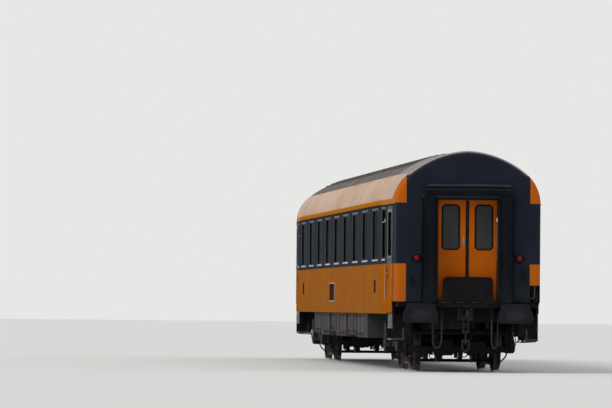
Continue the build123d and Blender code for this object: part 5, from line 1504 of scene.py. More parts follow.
@dataclass
class EndFittings:
    """Tail lamps, sockets, cocks, hose sleeves and the grab handle on the ends."""

    lamp_y: float = 0.948
    lamp_h: float = 2.073
    seal_x: float = 12.889
    handle_z: float = 1.368

    def lamps(self, side: int) -> Parts:
        """The rear lamp of one side: case, lens and four screws."""
        case = [(0.0, 0.0), (0.098, 0.0), (0.1, 0.006), (0.096, 0.014), (0.088, 0.02), (0.070, 0.022),
                (0.060, 0.018), (0.054, 0.014), (0.050, 0.023), (0.046, 0.024), (0.044, 0.012), (0.0, 0.012)]
        lens = [(0.0, 0.012), (0.045, 0.012), (0.044, 0.026), (0.036, 0.033), (0.022, 0.037), (0.0, 0.039)]
        spot, face = (end_spot(side * self.lamp_y, self.lamp_h, x) for x in (BODY_END, BODY_END + 0.019))
        return (in_finish(RUBBER, spot.disc(case, 40)) + in_finish(LENS, spot.disc(lens, 32))
                + in_finish(STEEL, *(face.bolt(0.079 * math.cos(turn), 0.079 * math.sin(turn), 0.005, 0.005)
                                     for turn in np.arange(4) * np.pi / 2 + np.pi / 4)))

    def sockets(self) -> Parts:
        """Rear sockets: a round case with a hinged lid and its cable box, and a switch in the doorway."""
        case = [(0, 0), (0.062, 0), (0.062, 0.010), (0.050, 0.014), (0.050, 0.052), (0.046, 0.058),
                (0.036, 0.061), (0, 0.062)]
        made = []
        for y, height in ((-1.038, 1.604), (1.019, 1.724)):
            spot = end_spot(y, height)
            hinge = spot.block((-0.018, 0.040, 0.03), (0.018, 0.066, 0.066), 0.006)
            cable_box = spot.block((-0.035, 0.062, 0.0), (0.035, 0.15, 0.03), 0.008)
            made += in_finish(BLACK, spot.disc(case, 28), hinge, cable_box)
            made += in_finish(STEEL, *spot.bolts((-0.045, 0.045), (-0.038,), 0.006, 0.018))
        jamb = end_spot(0.539, 2.776, 12.975)
        return made + in_finish(WHITE, jamb.block((-0.016, -0.035, -0.02), (0.012, 0.035, 0.02), 0.006))

    def seals(self) -> list[Patch]:
        """Rubber lips behind the doorway's edges, in front of the sliding leaves."""
        spans = ((0.549, 0.60, 1.27, 3.20), (-0.549, -0.60, 1.27, 2.305), (-0.549, -0.60, 2.50, 3.20),
                 (-0.60, 0.60, 3.168, 3.21))
        return [soft_block((self.seal_x, y0, low), (END_INNER + 0.01, y1, high), 0.006)
                for y0, y1, low, high in spans]

    def cocks(self) -> list[Patch]:
        """Left rear air cock's lever and its body."""
        x, y, z = 12.65, -0.6, 1.0 + RAIL_TOP
        lever = bend([(x - 0.03, y - 0.035, z + 0.045), (x - 0.03, y - 0.075, z + 0.045),
                      (x - 0.03, y - 0.095, z - 0.02), (x - 0.03, y - 0.095, z - 0.09)], 0.02)
        return [tube(lever, 0.007, 8, (1, 0, 0)),
                revolve(drum(0.034, -0.05, 0.05, 0.004, 0.005), (x - 0.01, y, z + 0.035), "y", 20)]

    def handle(self) -> Patch:
        """Rear grab handle: a bent bar from the notch's top to its inner side."""
        x, y, z = BODY_END - 0.06, 1.235, self.handle_z
        return tube(bend([(x, y, 1.62), (x, y, z), (x, 1.13, z)], 0.045), 0.014, 14, (1, 0, 0))

    def build(self) -> None:
        """Make lamps, sockets and handles."""
        lamps = Piece("lamp_set", "carbody", "lamp_glass")
        small = Piece("end_trim", "carbody", "frame_paint")
        grip = Piece("shunter_handles", "carbody", "rail_paint")
        for end in End:
            for side in SIDES:
                lamps.at_ends(self.lamps(side), end, mirror=False)
            small.at_ends(self.sockets(), end, mirror=False)
            small.at_ends(in_finish(STEEL, *self.cocks()), end)
            small.add(STEEL, *at_end(both_sides(BrakeHoses().sleeves()), end))
            small.add(RUBBER, *at_end(self.seals(), end))
            grip.add(DAMPER, *at_end([self.handle()], end))
        lamps.make("tail_lamps")
        small.make()
        grip.make("grab_handles")


# Under the floor

@dataclass
class Cases:
    """Doors, latches, hinges, louvres and pipes of the equipment cases."""

    reach: float = 7.15
    gap: float = 0.15
    outer: float = 1.345
    low: float = 0.56
    high: float = 1.03
    step: float = 0.04
    rows: tuple = ((-1, ((1900, 1), (2500, 0), (1500, 2), (2700, 0), (2300, 1), (2650, 0))),
                   (1, ((2650, 0), (2100, 2), (3000, 0), (1700, 1), (2400, 0), (1700, 2))))
    pipe_runs: tuple = ((-0.50, 0.985, 0.022), (-0.43, 1.00, 0.016), (0.47, 0.99, 0.022),
                        (0.54, 1.005, 0.014))

    def places(self) -> list[tuple[int, float, float, int]]:
        """Side, start, end and step of every case."""
        found = []
        for side, row in self.rows:
            scale = (2 * self.reach - (len(row) - 1) * self.gap) / sum(part for part, up in row)
            start = -self.reach
            for part, up in row:
                found.append((side, start, start + part * scale, up))
                start += part * scale + self.gap
        return found

    def louvres(self, spot: Spot, width: float, tall: float) -> list[Patch]:
        """Slanted slats in a frame."""
        half = width / 2 - 0.02
        rim = [(0, -0.001), (0.001, 0.009), (0.012, 0.009), (0.016, -0.001)]
        parts = [spot.ring(width, tall, 0.02, rim, 3)]
        for up in np.arange(-tall / 2 + 0.035, tall / 2 - 0.02, 0.03):
            slat = spot.put([[-half], [half]], up + np.array([[0.0, -0.010, -0.016]]), [[0.0, 0.011, 0.008]])
            parts.append(grid(slat, loop_cols=True, closed=True))
        return parts

    def door(self, spot: Spot, wide: float, tall: float) -> Parts:
        """A case's door: its pressed rim, two latches and two hinges."""
        rim = [(0, -0.001), (0.002, 0.008), (0.014, 0.010), (0.022, 0.004), (0.024, -0.001)]
        made = in_finish(CASES, spot.ring(wide - 0.03, tall, 0.025, rim, 4))
        for across in (-wide * 0.28, wide * 0.28):
            for finish, half, low, high, out, radius in (
                    (STEEL, 0.016, -tall / 2 + 0.02, -tall / 2 + 0.075, 0.016, 0.006),
                    (BLACK, 0.035, tall / 2 - 0.035, tall / 2 - 0.012, 0.012, 0.005)):
                made += in_finish(finish, spot.block((across - half, low, 0.0), (across + half, high, out),
                                                     radius))
        return made

    def front(self, side: int, start: float, stop: float, step: int) -> Parts:
        """What the outer face of one case carries."""
        low, long = self.low + self.step * step, stop - start
        y, tall = side * (self.outer - 0.01 * step), self.high - low - 0.05
        count = 3 if long > 2.2 else 2
        wide = (long - 0.08) / count
        made = []
        for index in range(count):
            x = start + 0.04 + wide * (index + 0.5)
            spot = side_spot(x, y, (low + self.high) / 2 + RAIL_TOP, side)
            if (index + step + (start > 0)) % 3 == 0:
                made += in_finish(CASES, *self.louvres(spot, wide - 0.10, tall - 0.04))
            else:
                made += self.door(spot, wide, tall)
        foot = side_spot((start + stop) / 2, y, low + RAIL_TOP, side)
        return made + in_finish(BLACK, foot.block((-long / 2, 0.0, -0.03), (long / 2, 0.014, 0.006)))

    def pipes(self) -> list[Patch]:
        """Brake pipe and cable ducts that run below the floor, with their elbows."""
        made = []
        for y, z, radius in self.pipe_runs:
            half = [(12.52, 1.06), (12.1, 1.06), (11.9, z + 0.06)]
            path = [(-x, y, height) for x, height in half] + [(x, y, height) for x, height in reversed(half)]
            made.append(tube(bend(path, 0.12), radius, 10, (0, 1, 0)))
        return made

    def build(self) -> None:
        """Make the fronts of all cases as one piece, and the pipes as another."""
        piece = Piece("case_fronts", "carbody", "case_paint")
        for place in self.places():
            piece.parts += self.front(*place)
        piece.make()
        Piece("floor_pipes", "carbody", "frame_paint").add(BLACK, *self.pipes()).make()


@dataclass
class AirTanks:
    """Air reservoirs with domed ends, bands, hangers and drain cocks."""

    length: float = 2.1
    radius: float = 0.21
    z: float = 0.83 + RAIL_TOP
    middle: float = 2.025
    dome: float = 0.035

    def build(self) -> None:
        """Make both reservoirs as one piece."""
        piece = Piece("reservoirs", "carbody", "frame_paint")
        half, round_r = self.length / 2, self.radius - 0.006
        dome = [(0.002 + round_r * math.sin(turn), half - self.dome + self.dome * math.cos(turn))
                for turn in np.linspace(0, np.pi / 2, 7)]
        profile = [(0.0, -half), *((radius, -place) for radius, place in dome), *reversed(dome), (0.0, half)]
        band = [(0.200, -0.03), (0.2085, -0.03), (0.2105, -0.026), (0.2105, 0.026), (0.2085, 0.03),
                (0.200, 0.03)]
        hangers = [soft_block((-0.03, side * 0.095, self.z + 0.15), (0.03, side * 0.12, 1.128), 0.005)
                   for side in SIDES]
        for x in (-self.middle, self.middle):
            piece.add(TANK, revolve(profile, (x, 0, self.z), "x", 48))
            for along in (x - half + 0.05, x + half - 0.05):
                piece.add(BLACK, revolve(band, (along, 0, self.z), "x", 48))
                piece.add(BLACK, *(hanger.at(along, 0, 0) for hanger in hangers))
            piece.add(STEEL, revolve([(0, -0.035), (0.012, -0.035), (0.012, 0.01), (0, 0.01)],
                                     (x, 0, self.z - self.radius + 0.005), "z", 12))
            pipe = bend([(x - 0.7, 0.0, self.z + 0.19), (x - 0.7, 0.0, 1.02), (x - 0.7, 0.47, 1.03)], 0.05)
            piece.add(BLACK, tube(pipe, 0.014, 10, (1, 0, 0)))
        piece.make("air_tanks")


# Running gear

@dataclass
class Bogie:
    """One bogie: box-section frame, coil springs, dampers, axle boxes and brake gear."""

    end: End
    sill_y: float = 1.0
    spring_x: float = 0.25
    damper_x: float = 0.92
    damper_y: float = 1.112
    calliper_y: float = 0.33
    magnet_y: float = 0.748
    sill_view: tuple = ((-1.56, 0.75), (-0.85, 0.75), (-0.62, 0.54), (0.62, 0.54), (0.85, 0.75),
                        (1.56, 0.75), (1.56, 0.90), (0.80, 0.90), (0.56, 0.69), (-0.56, 0.69), (-0.80, 0.90),
                        (-1.56, 0.90))

    def placed(self, patches: list[Patch]) -> list[Patch]:
        """Patches made about the pivot, moved to this bogie."""
        return [patch.at(self.end.value * BOGIE_X, 0, 0) for patch in patches]

    def frame(self) -> list[Patch]:
        """Left sill's web with its two flanges, stiffeners and spring seats."""
        y = -self.sill_y
        outline = rounded_polygon([(a, b + RAIL_TOP) for a, b in self.sill_view], 0.11, 6)
        spot, inner = side_spot(0, y, 0, -1), moved_in(outline, 0.016)
        rows = [(outline, -0.075), (outline, 0.075), (inner, 0.075), (inner, -0.075)]
        parts = [spot.plate(moved_in(outline, 0.006), -0.060, 0.060, 0.004),
                 grid(np.stack([spot.put(*line.T, out) for line, out in rows]), True, True)]
        for x in (-1.13, -0.95, 0.95, 1.13, -0.3, 0.3):
            z = (0.75 if abs(x) > 0.8 else 0.54) + RAIL_TOP
            parts.append(soft_block((x - 0.006, y - 0.073, z + 0.012), (x + 0.006, y - 0.05, z + 0.138),
                                    0.003, 1))
        cup = [(0, 0.722), (0.118, 0.722), (0.122, 0.730), (0.122, 0.780), (0, 0.780)]
        for x in (-HALF_BASE, HALF_BASE):
            parts += [soft_block((x - 0.16, y - 0.095, 0.925), (x + 0.16, y + 0.085, 0.935), 0.004),
                      revolve(cup, (x, y, 0.0), "z", 32)]
        seat = [(0, 0.716), (0.135, 0.716), (0.138, 0.722), (0.13, 0.734), (0, 0.736)]
        return parts + [revolve(seat, (x, y, 0.0), "z", 32) for x in (-self.spring_x, self.spring_x)]

    def middle(self) -> list[Patch]:
        """Cross tubes, bolster, bump stops and the anti-roll bar."""
        parts = []
        for x in (-0.43, 0.43):
            parts += [revolve(drum(0.062, -0.99, 0.99, 0.004, 0.01), (x, 0, 0.62), "y", 28),
                      soft_block((x - 0.075, -0.95, 0.57), (x + 0.075, 0.95, 0.665), 0.02, 3)]
        parts.append(soft_block((-0.43, -1.12, 0.936), (0.43, 1.12, 1.056), 0.018, 3))
        for side in SIDES:
            parts.append(soft_block((-0.40, side - 0.14, 0.928), (0.40, side + 0.118, 0.945), 0.006))
            for x in (-0.36, 0.36):
                face = facing((x, side * 1.12, 0.995), (0, side, 0))
                parts += face.bolts((-0.03, 0.03), (-0.03, 0.03), 0.013, 0.012)
            parts.append(soft_block((-0.07, side * 0.86, 0.72), (0.07, side * 0.925, 0.86), 0.015))
        roll_bar = bend([(0.56, -1.10, 0.50), (0.70, -1.10, 0.64), (0.70, 1.10, 0.64), (0.56, 1.10, 0.50)],
                        0.04)
        return [*parts, tube(roll_bar, 0.022, 12, (-0.7, 0, 0.7))]

    def end_gear(self) -> list[Patch]:
        """Rear end of the bogie, ahead of its wheels: sill ends, cross tubes, guards, sanders and pipes."""
        parts = [tube(np.array([(1.85, y, 0.73) for y in (-1.0, 0.0, 1.0)]), 0.045, 18, (1, 0, 0)),
                 soft_block((1.815, -0.99, 0.36), (1.875, 0.99, 0.47), 0.015),
                 soft_block((1.80, -0.46, 0.30), (1.89, -0.10, 0.60), 0.02),
                 soft_block((1.80, 0.16, 0.33), (1.88, 0.52, 0.56), 0.02)]
        hanger = rounded_polygon([(1.50, 0.90), (1.86, 0.90), (1.90, 0.84), (1.90, 0.34), (1.79, 0.34),
                                  (1.79, 0.70), (1.70, 0.76), (1.50, 0.76)], 0.05)
        guard = rounded_polygon([(1.80, 0.46), (1.88, 0.46), (1.88, 0.28), (1.86, 0.10), (1.79, 0.10),
                                 (1.80, 0.28)], 0.03)
        pipe = [(1.84, 0.91, 0.52), (1.84, 0.91, 0.30), (1.82, 0.76, 0.16)]
        run = [(1.88, 0.60, 0.76), (1.88, 0.60, 0.955), (0.75, 0.60, 0.955), (0.75, 0.60, 0.80),
               (0.46, 0.60, 0.72)]
        hose = [(1.87, 0.56, 0.44), (1.90, 0.53, 0.24), (1.90, 0.43, 0.24), (1.87, 0.40, 0.42)]
        for side in SIDES:
            parts += [side_spot(0, side * y, RAIL_TOP, side).plate(outline, -thick, thick, 0.005)
                      for outline, y, thick in ((hanger, 0.985, 0.02), (guard, 0.755, 0.035))]
            parts.append(soft_block((1.77, side * 0.86, 0.50), (1.90, side * 0.96, 0.70), 0.015))
            pipe_path, run_path, hose_path = (bend(np.multiply(path, (1, side, 1)), 0.08)
                                              for path in (pipe, run, hose))
            parts += [tube(pipe_path, 0.014, 8, (1, 0, 0)), tube(run_path, 0.012, 8, (0, 1, 0))]
            parts += [soft_block((1.825, side * y - wide, low), (1.865, side * y + wide, 0.42))
                      for y, low, wide in ((0.62, 0.27, 0.05), (0.50, 0.31, 0.03), (0.33, 0.22, 0.035),
                                           (0.22, 0.30, 0.06), (0.05, 0.26, 0.03))]
            parts.append(tube(hose_path, 0.009, 8, (1, 0, 0)))
        return parts

    def springs(self) -> list[Patch]:
        """Left main and primary springs."""
        parts, y = [], -self.sill_y
        for x in (-self.spring_x, self.spring_x):
            parts += [coil((x, y), radius, wire, 0.734, 0.936, turns)
                      for radius, wire, turns in ((0.099, 0.0175, 4.6), (0.058, 0.0120, 6.4))]
        seat = [(0, 0.600), (0.108, 0.600), (0.112, 0.606), (0.108, 0.618), (0, 0.620)]
        for x in (-HALF_BASE, HALF_BASE):
            parts += [coil((x, y), 0.088, 0.0145, 0.613, 0.724, 3.4), revolve(seat, (x, y, 0), "z", 28)]
        return parts

    def dampers(self) -> list[Patch]:
        """Left dampers: rod, dust cover and eyes on their brackets."""
        parts, y = [], -self.damper_y
        rod = [(0, 0.480), (0.020, 0.480), (0.026, 0.49), (0.026, 0.70), (0.020, 0.71), (0.012, 0.712),
               (0.012, 0.72), (0.034, 0.722), (0.034, 0.90), (0.028, 0.912), (0, 0.915)]
        for x in (-self.damper_x, self.damper_x):
            parts.append(revolve(rod, (x, y, 0), "z", 20))
            for z in (0.478, 0.902):
                parts += [revolve(drum(0.028, -0.034, 0.034, 0.002, 0.004), (x, y, z), "y", 18),
                          soft_block((x - 0.03, -1.10, z - 0.03), (x + 0.03, -1.04, z + 0.03)),
                          facing((x, y - 0.034, z), (0, -1, 0)).bolt(0, 0, 0.013, 0.012)]
        return parts

    def box(self) -> Parts:
        """Left rear axle box: housing, round cover with bolts, arm and its bush."""
        x, y, z = HALF_BASE, -self.sill_y, WHEEL_Z
        housing = rounded_polygon([(-0.15, -0.07), (-0.08, -0.13), (0.08, -0.13), (0.15, -0.07),
                                   (0.15, 0.09), (0.11, 0.14), (-0.11, 0.14), (-0.15, 0.09)], 0.04, 5)
        arm = rounded_polygon([(0.05, -0.09), (-0.20, -0.045), (-0.58, -0.045), (-0.64, 0.0), (-0.58, 0.065),
                               (-0.20, 0.07), (0.05, 0.13)], 0.05, 5)
        cover = [(0, 0), (0.112, 0), (0.112, 0.010), (0.104, 0.014), (0.098, 0.016), (0.096, 0.022),
                 (0.070, 0.025), (0.052, 0.025), (0.046, 0.031), (0.0, 0.033)]
        bush = [(0, -0.06), (0.05, -0.06), (0.056, -0.05), (0.056, 0.05), (0.05, 0.06), (0.022, 0.062),
                (0.02, 0.07), (0, 0.07)]
        cable = bend([(x + 0.03, y - 0.11, z + 0.02), (x + 0.03, y - 0.14, z + 0.03),
                      (x + 0.10, y - 0.12, z + 0.13), (x + 0.13, y - 0.085, z + 0.30)], 0.06)
        spot, face = side_spot(x, y, z, -1), side_spot(x, y - 0.095, z, -1)
        made = in_finish(BOGIE, spot.plate(housing, -0.075, 0.095, 0.012),
                         spot.plate(arm, -0.045, 0.045, 0.010))
        made += in_finish(COVER, face.disc(cover, 40))
        made += in_finish(STEEL, *(face.bolt(0.100 * math.cos(turn), 0.100 * math.sin(turn), 0.0085, 0.020)
                                   for turn in np.arange(8) * np.pi / 4))
        made += in_finish(BOGIE, side_spot(x - 0.58, y, z + 0.01, -1).disc(bush, 28), soft_block(
            (x - 0.65, y - 0.07, z + 0.03), (x - 0.51, y + 0.07, z + 0.19), 0.02))
        return made + in_finish(HOSE, tube(cable, 0.008, 8, (1, 0, 0)))

    def magnet(self) -> Parts:
        """Left track brake magnet with its shoes, posts and ties."""
        y, low, high = -self.magnet_y, -self.magnet_y - 0.055, -self.magnet_y + 0.055
        made = in_finish(BOGIE, soft_block((-0.56, low, 0.165), (0.56, high, 0.263), 0.015))
        made += in_finish(SHOE, *(soft_block((x - 0.065, low + 0.008, 0.123),
                                             (x + 0.065, high - 0.008, 0.175))
                                  for x in np.linspace(-0.50, 0.50, 7)))
        for x in (-0.43, 0.43):
            made += in_finish(BOGIE, soft_block((x - 0.03, y - 0.03, 0.25), (x + 0.03, y + 0.03, 0.575)),
                              revolve(drum(0.05, 0.33, 0.48, 0.005, 0.01), (x, y, 0), "z", 24))
        return made + in_finish(BOGIE, *(soft_block((x - 0.025, -0.73, 0.168), (x + 0.025, 0.0, 0.218), 0.01)
                                         for x in (-0.52, 0.52)))

    def calliper(self, sign: int) -> list[Patch]:
        """Left calliper at one axle: two cheeks, their block, the cylinder and its bracket."""
        y, z = -self.calliper_y, WHEEL_Z
        arm = rounded_polygon([(0.60, -0.05), (0.60, 0.07), (0.80, 0.06), (0.98, 0.11), (1.13, 0.10),
                               (1.13, -0.08), (0.98, -0.09), (0.80, -0.04)], 0.04, 4)
        spot = Spot((0, 0, z), across=(sign, 0, 0))
        return [*(spot.plate(arm, low, low + 0.03, 0.005) for low in (y - 0.078, y + 0.048)),
                soft_block((sign * 0.51, y - 0.078, z - 0.06), (sign * 0.66, y + 0.078, z + 0.08), 0.015),
                revolve(drum(0.095, -0.10, 0.04, 0.01, 0.01), (sign * 0.55, y, z + 0.02), "y", 28),
                soft_block((sign * 0.47, y - 0.07, z), (sign * 0.53, y + 0.07, z + 0.13), 0.01)]

    def build(self) -> None:
        """Make the bogie's pieces and tie them to its body."""
        word, body = self.end.word, f"bogie_{self.end.word}"
        beams = Piece(f"bogie_beams_{word}", body, "bogie_paint")
        beams.add(BOGIE, *self.placed([*both_sides(self.frame()), *self.middle(),
                                       *both_ends(self.end_gear())]))
        beams.make(f"bogie_frame_{word}", smooth=35)
        springs = Piece(f"bogie_coils_{word}", body, "spring_steel")
        springs.add(SPRING, *self.placed(both_sides(self.springs())))
        springs.add(DAMPER, *self.placed(both_sides(self.dampers())))
        springs.make(f"bogie_springs_{word}", smooth=50)
        boxes = Piece(f"axle_bearings_{word}", body, "bogie_paint")
        for patch, finish in self.box():
            boxes.add(finish, *self.placed(both_ends(both_sides([patch]))))
        boxes.make(f"axle_boxes_{word}", smooth=35)
        brakes = Piece(f"brake_rigging_{word}", body, "bogie_paint")
        for patch, finish in self.magnet() + in_finish(BOGIE, *self.calliper(-1), *self.calliper(1)):
            brakes.add(finish, *self.placed(both_sides([patch])))
        brakes.make(f"brake_gear_{word}", smooth=35)


@dataclass
class Wheelset:
    """Axle with turned wheels and vented brake discs."""

    number: int
    x: float
    body: tuple = ((0.080, 0.668), (0.120, 0.668), (0.126, 0.674), (0.128, 0.700), (0.140, 0.722),
                   (0.20, 0.728), (0.30, 0.740), (0.36, 0.738), (0.388, 0.724), (0.396, 0.700),
                   (0.398, 0.682), (0.404, 0.680), (0.440, 0.680), (0.452, 0.6805))
    tread: tuple = ((0.452, 0.6805), (0.462, 0.683), (0.470, 0.690), (0.473, 0.697), (0.470, 0.704),
                    (0.460, 0.709), (0.450, 0.714), (0.4465, 0.722), (0.4450, 0.745), (0.4440, 0.785),
                    (0.4420, 0.808), (0.4360, 0.815))
    face: tuple = ((0.4360, 0.815), (0.404, 0.815), (0.397, 0.811), (0.393, 0.795), (0.384, 0.774),
                   (0.355, 0.770), (0.30, 0.773), (0.20, 0.764), (0.150, 0.768), (0.134, 0.790),
                   (0.128, 0.818), (0.120, 0.823), (0.080, 0.823))
    bell: tuple = ((0.078, 0.270), (0.115, 0.270), (0.125, 0.285), (0.165, 0.318), (0.175, 0.322),
                   (0.175, 0.338), (0.165, 0.342), (0.125, 0.375), (0.115, 0.39), (0.078, 0.39))
    axle: tuple = ((0, -1.075), (0.062, -1.075), (0.066, -1.07), (0.066, -0.93), (0.078, -0.91),
                   (0.090, -0.84), (0.090, -0.66), (0.080, -0.62), (0.079, -0.40), (0.088, -0.385),
                   (0.088, -0.26), (0.079, -0.24))

    def turned(self, profile: list[tuple[float, float]], sides: int) -> Patch:
        """A profile turned round the axle."""
        return revolve(profile, (self.x, 0, WHEEL_Z), "y", sides)

    def disc(self) -> list[Patch]:
        """Right brake disc: two friction rings, vanes between them and the hub's bell."""
        parts = [self.turned([(0.165, low), (0.300, low), (0.305, low + 0.004), (0.305, high - 0.004),
                              (0.300, high), (0.165, high), (0.165, low)], 60)
                 for low, high in ((0.290, 0.312), (0.348, 0.370))]
        parts.append(self.turned(self.bell, 48))
        vane = soft_block((0.17, 0.311, -0.006), (0.298, 0.349, 0.006), 0.002, 1)
        for turn in np.arange(24) * np.pi / 12:
            c, s = math.cos(turn), math.sin(turn)
            parts.append(vane.moved([[c, 0, -s], [0, 1, 0], [s, 0, c]], (self.x, 0, WHEEL_Z)))
        return parts

    def build(self) -> None:
        """Make the wheelset and tie it to its body."""
        name = f"wheelset_{self.number}"
        whole_axle = [*self.axle, *((radius, -place) for radius, place in reversed(self.axle))]
        wheel = joined([self.turned(self.body, 72), self.turned(self.face, 72)])
        piece = Piece(f"axle_and_wheels_{self.number}", name, "wheel_steel")
        piece.add(WHEEL, *both_sides([wheel]), self.turned(whole_axle, 36))
        piece.add(TREAD, *both_sides([self.turned(self.tread, 72)]))
        piece.add(DISC, *both_sides(self.disc()))
        piece.make(name, smooth=30)


# Inside

@dataclass
class Seats:
    """Three seats to a bench, with crowned cushions, backs with a headrest, and arm rests."""

    half: float = 1.17
    door_side: float = 0.52
    window_side: float = -1.3225
    floor: float = 1.278
    seat_top: float = 1.708
    back_top: float = 2.448
    lean: float = math.radians(4)

    def crowned(self, size: tuple, crown: float, rows: int = 17,
                turns: int = 44) -> tuple[Patch, np.ndarray]:
        """Plain pad: powers of sine and cosine, with sides pulled in between corners.

        Args:
            size: length, width and height.
            crown: how much higher the middle is than the edges.
            rows: points from pole to pole.
            turns: points round the pad.

        Returns:
            The patch, and each point's share of the length and the width.
        """
        tilt, turn = np.linspace(-np.pi / 2, np.pi / 2, rows)[:, None], circle(turns)[None, :]

        def soft(value: np.ndarray, power: float) -> np.ndarray:
            """Signed power."""
            return np.sign(value) * np.abs(value) ** power

        flat = soft(np.cos(tilt), 0.28)
        a, b = flat * soft(np.cos(turn), 0.35), flat * soft(np.sin(turn), 0.35)
        c = np.broadcast_to(soft(np.sin(tilt), 0.6), a.shape)
        a, b = a * (1 - 0.03 * (1 - b ** 2)), b * (1 - 0.03 * (1 - a ** 2))
        swell = 1 + crown * np.maximum(1 - a ** 2, 0) * np.maximum(1 - b ** 2, 0)
        points = np.stack([a * size[0] / 2, b * size[1] / 2, c * swell * size[2] / 2], -1)
        return grid(points, loop_cols=True), np.stack([a, b], -1).reshape(-1, 2)

    def blown(self, pad: Patch, voxel: float = 0.008, cap: float = 0.014, pressure: float = 4.0) -> Patch:
        """Args:
            pad: the plain pad.
            voxel: cell of the mesh that is simulated, in metres.
            cap: farthest that a point may move.
            pressure: the air's pressure.

        Returns:
            The pad with its points on the simulated surface.
        """
        mesh = bpy.data.meshes.new("pad")
        mesh.from_pydata(pad.points.tolist(), [], pad.quads.tolist())
        plain, swollen = (linked(name, mesh.copy()) for name in ("pad_plain", "pad_cloth"))
        remesh = swollen.modifiers.new("remesh", "REMESH")
        remesh.mode, remesh.voxel_size = "VOXEL", voxel
        self.bake(swollen)
        cloth = swollen.modifiers.new("cloth", "CLOTH")
        cloth.settings.use_pressure, cloth.settings.uniform_pressure_force = True, pressure
        cloth.settings.effector_weights.gravity = 0.0
        frames = 20
        cloth.point_cache.frame_start, cloth.point_cache.frame_end = 1, frames
        for number in range(1, frames + 1):
            bpy.context.scene.frame_set(number)
        self.bake(swollen)
        wrap = plain.modifiers.new("wrap", "SHRINKWRAP")
        wrap.target, wrap.wrap_method = swollen, "NEAREST_SURFACEPOINT"
        held = plain.evaluated_get(bpy.context.evaluated_depsgraph_get()).data
        points = np.empty(3 * len(held.vertices))
        held.vertices.foreach_get("co", points)
        step = points.reshape(-1, 3) - pad.points
        length = np.linalg.norm(step, axis=1, keepdims=True)
        LOG.info("cloth moved the pad by up to %.1f mm", 1000 * length.max())
        for made in (plain, swollen):
            bpy.data.objects.remove(made)
        bpy.context.scene.frame_set(1)
        return Patch(pad.points + step * np.minimum(1, cap / np.maximum(length, 1e-9)), pad.quads)

    def bake(self, made: bpy.types.Object) -> None:
        """Put an object's modifiers into its mesh."""
        held = made.evaluated_get(bpy.context.evaluated_depsgraph_get())
        made.data = bpy.data.meshes.new_from_object(held)
        made.modifiers.clear()

    def pad(self, size: tuple, channels: int, crown: float) -> Patch:
        """A pad that is blown up and then drawn in along its sewn channels."""
        plain, share = self.crowned(size, crown)
        taut = self.blown(plain)
        line = ((share[:, :1] * channels / 2) % 1.0 - 0.5) / 0.05
        drawn = 1 - 0.12 * np.exp(-line ** 2) * (np.abs(share[:, 1:]) < 0.94)
        taut.points *= (1, 1, 0) + np.array((0, 0, 1)) * drawn
        return taut

    def bench(self, middle: float, sign: int) -> Parts:
        """Frame, back panel and feet of one bench, whose back is on the side of the sign."""
        def across(out: float) -> float:
            """A place along the coach, measured from the bench's back."""
            return middle + sign * (self.half - out)

        low, high = self.window_side, self.door_side
        made = in_finish(BLACK, soft_block((across(0.56), low + 0.02, self.floor + 0.22),
                                           (across(0.10), high - 0.02, self.seat_top - 0.14), 0.01))
        made += in_finish(PANEL, soft_block((across(0.035), low, self.floor + 0.2),
                                            (across(0.0), high, self.back_top)))
        return made + in_finish(BLACK, *(soft_block((across(0.42), y - 0.03, self.floor),
                                                    (across(0.34), y + 0.03, self.floor + 0.24), 0.01)
                                         for y in (low + 0.12, high - 0.12)))

    def build(self) -> None:
        """Make cushions, backs and bench frames for the nine compartments."""
        width = (self.door_side - self.window_side) / 3
        seat = self.pad((0.49, width - 0.024, 0.115), 3, 0.22)
        back = self.pad((0.63, width - 0.024, 0.095), 5, 0.2)
        head = self.pad((0.18, width - 0.17, 0.06), 1, 0.2)
        c, s = math.cos(self.lean), math.sin(self.lean)
        stand = np.array([[0, 0, -1], [0, 1, 0], [1, 0, 0]], float)
        upright = np.array([[c, 0, -s], [0, 1, 0], [s, 0, c]]) @ stand
        cushions, backs, frames = (Piece(name, "carbody", "seat_cloth")
                                   for name in ("seat_cushions", "seat_backs", "seat_frames"))
        for cell in range(BAYS):
            middle = (cell - BAYS // 2) * BAY
            for sign in SIDES:
                flip = np.diag([sign, 1.0, 1.0])
                for place in range(3):
                    y = self.window_side + width * (place + 0.5)
                    x, z = middle + sign * (self.half - 0.375), self.seat_top - 0.075
                    cushions.add(CLOTH, seat.moved(flip).at(x, y, z))
                    for pad, out, rise in ((back, 0.085, 0.35), (head, 0.145, 0.61)):
                        spot = (middle + sign * (self.half - out), y, self.seat_top - 0.02 + rise)
                        backs.add(CLOTH, pad.moved(flip @ upright).at(*spot))
                    arm = soft_block((-0.17, -0.018, -0.02), (0.17, 0.018, 0.02), 0.012)
                    frames.add(LAMINATE, arm.at(middle + sign * (self.half - 0.45), y - width / 2 + 0.02,
                                                self.seat_top + 0.16))
                frames.parts += self.bench(middle, sign)
        cushions.make(smooth=60)
        backs.make(smooth=60)
        frames.make("seat_benches")


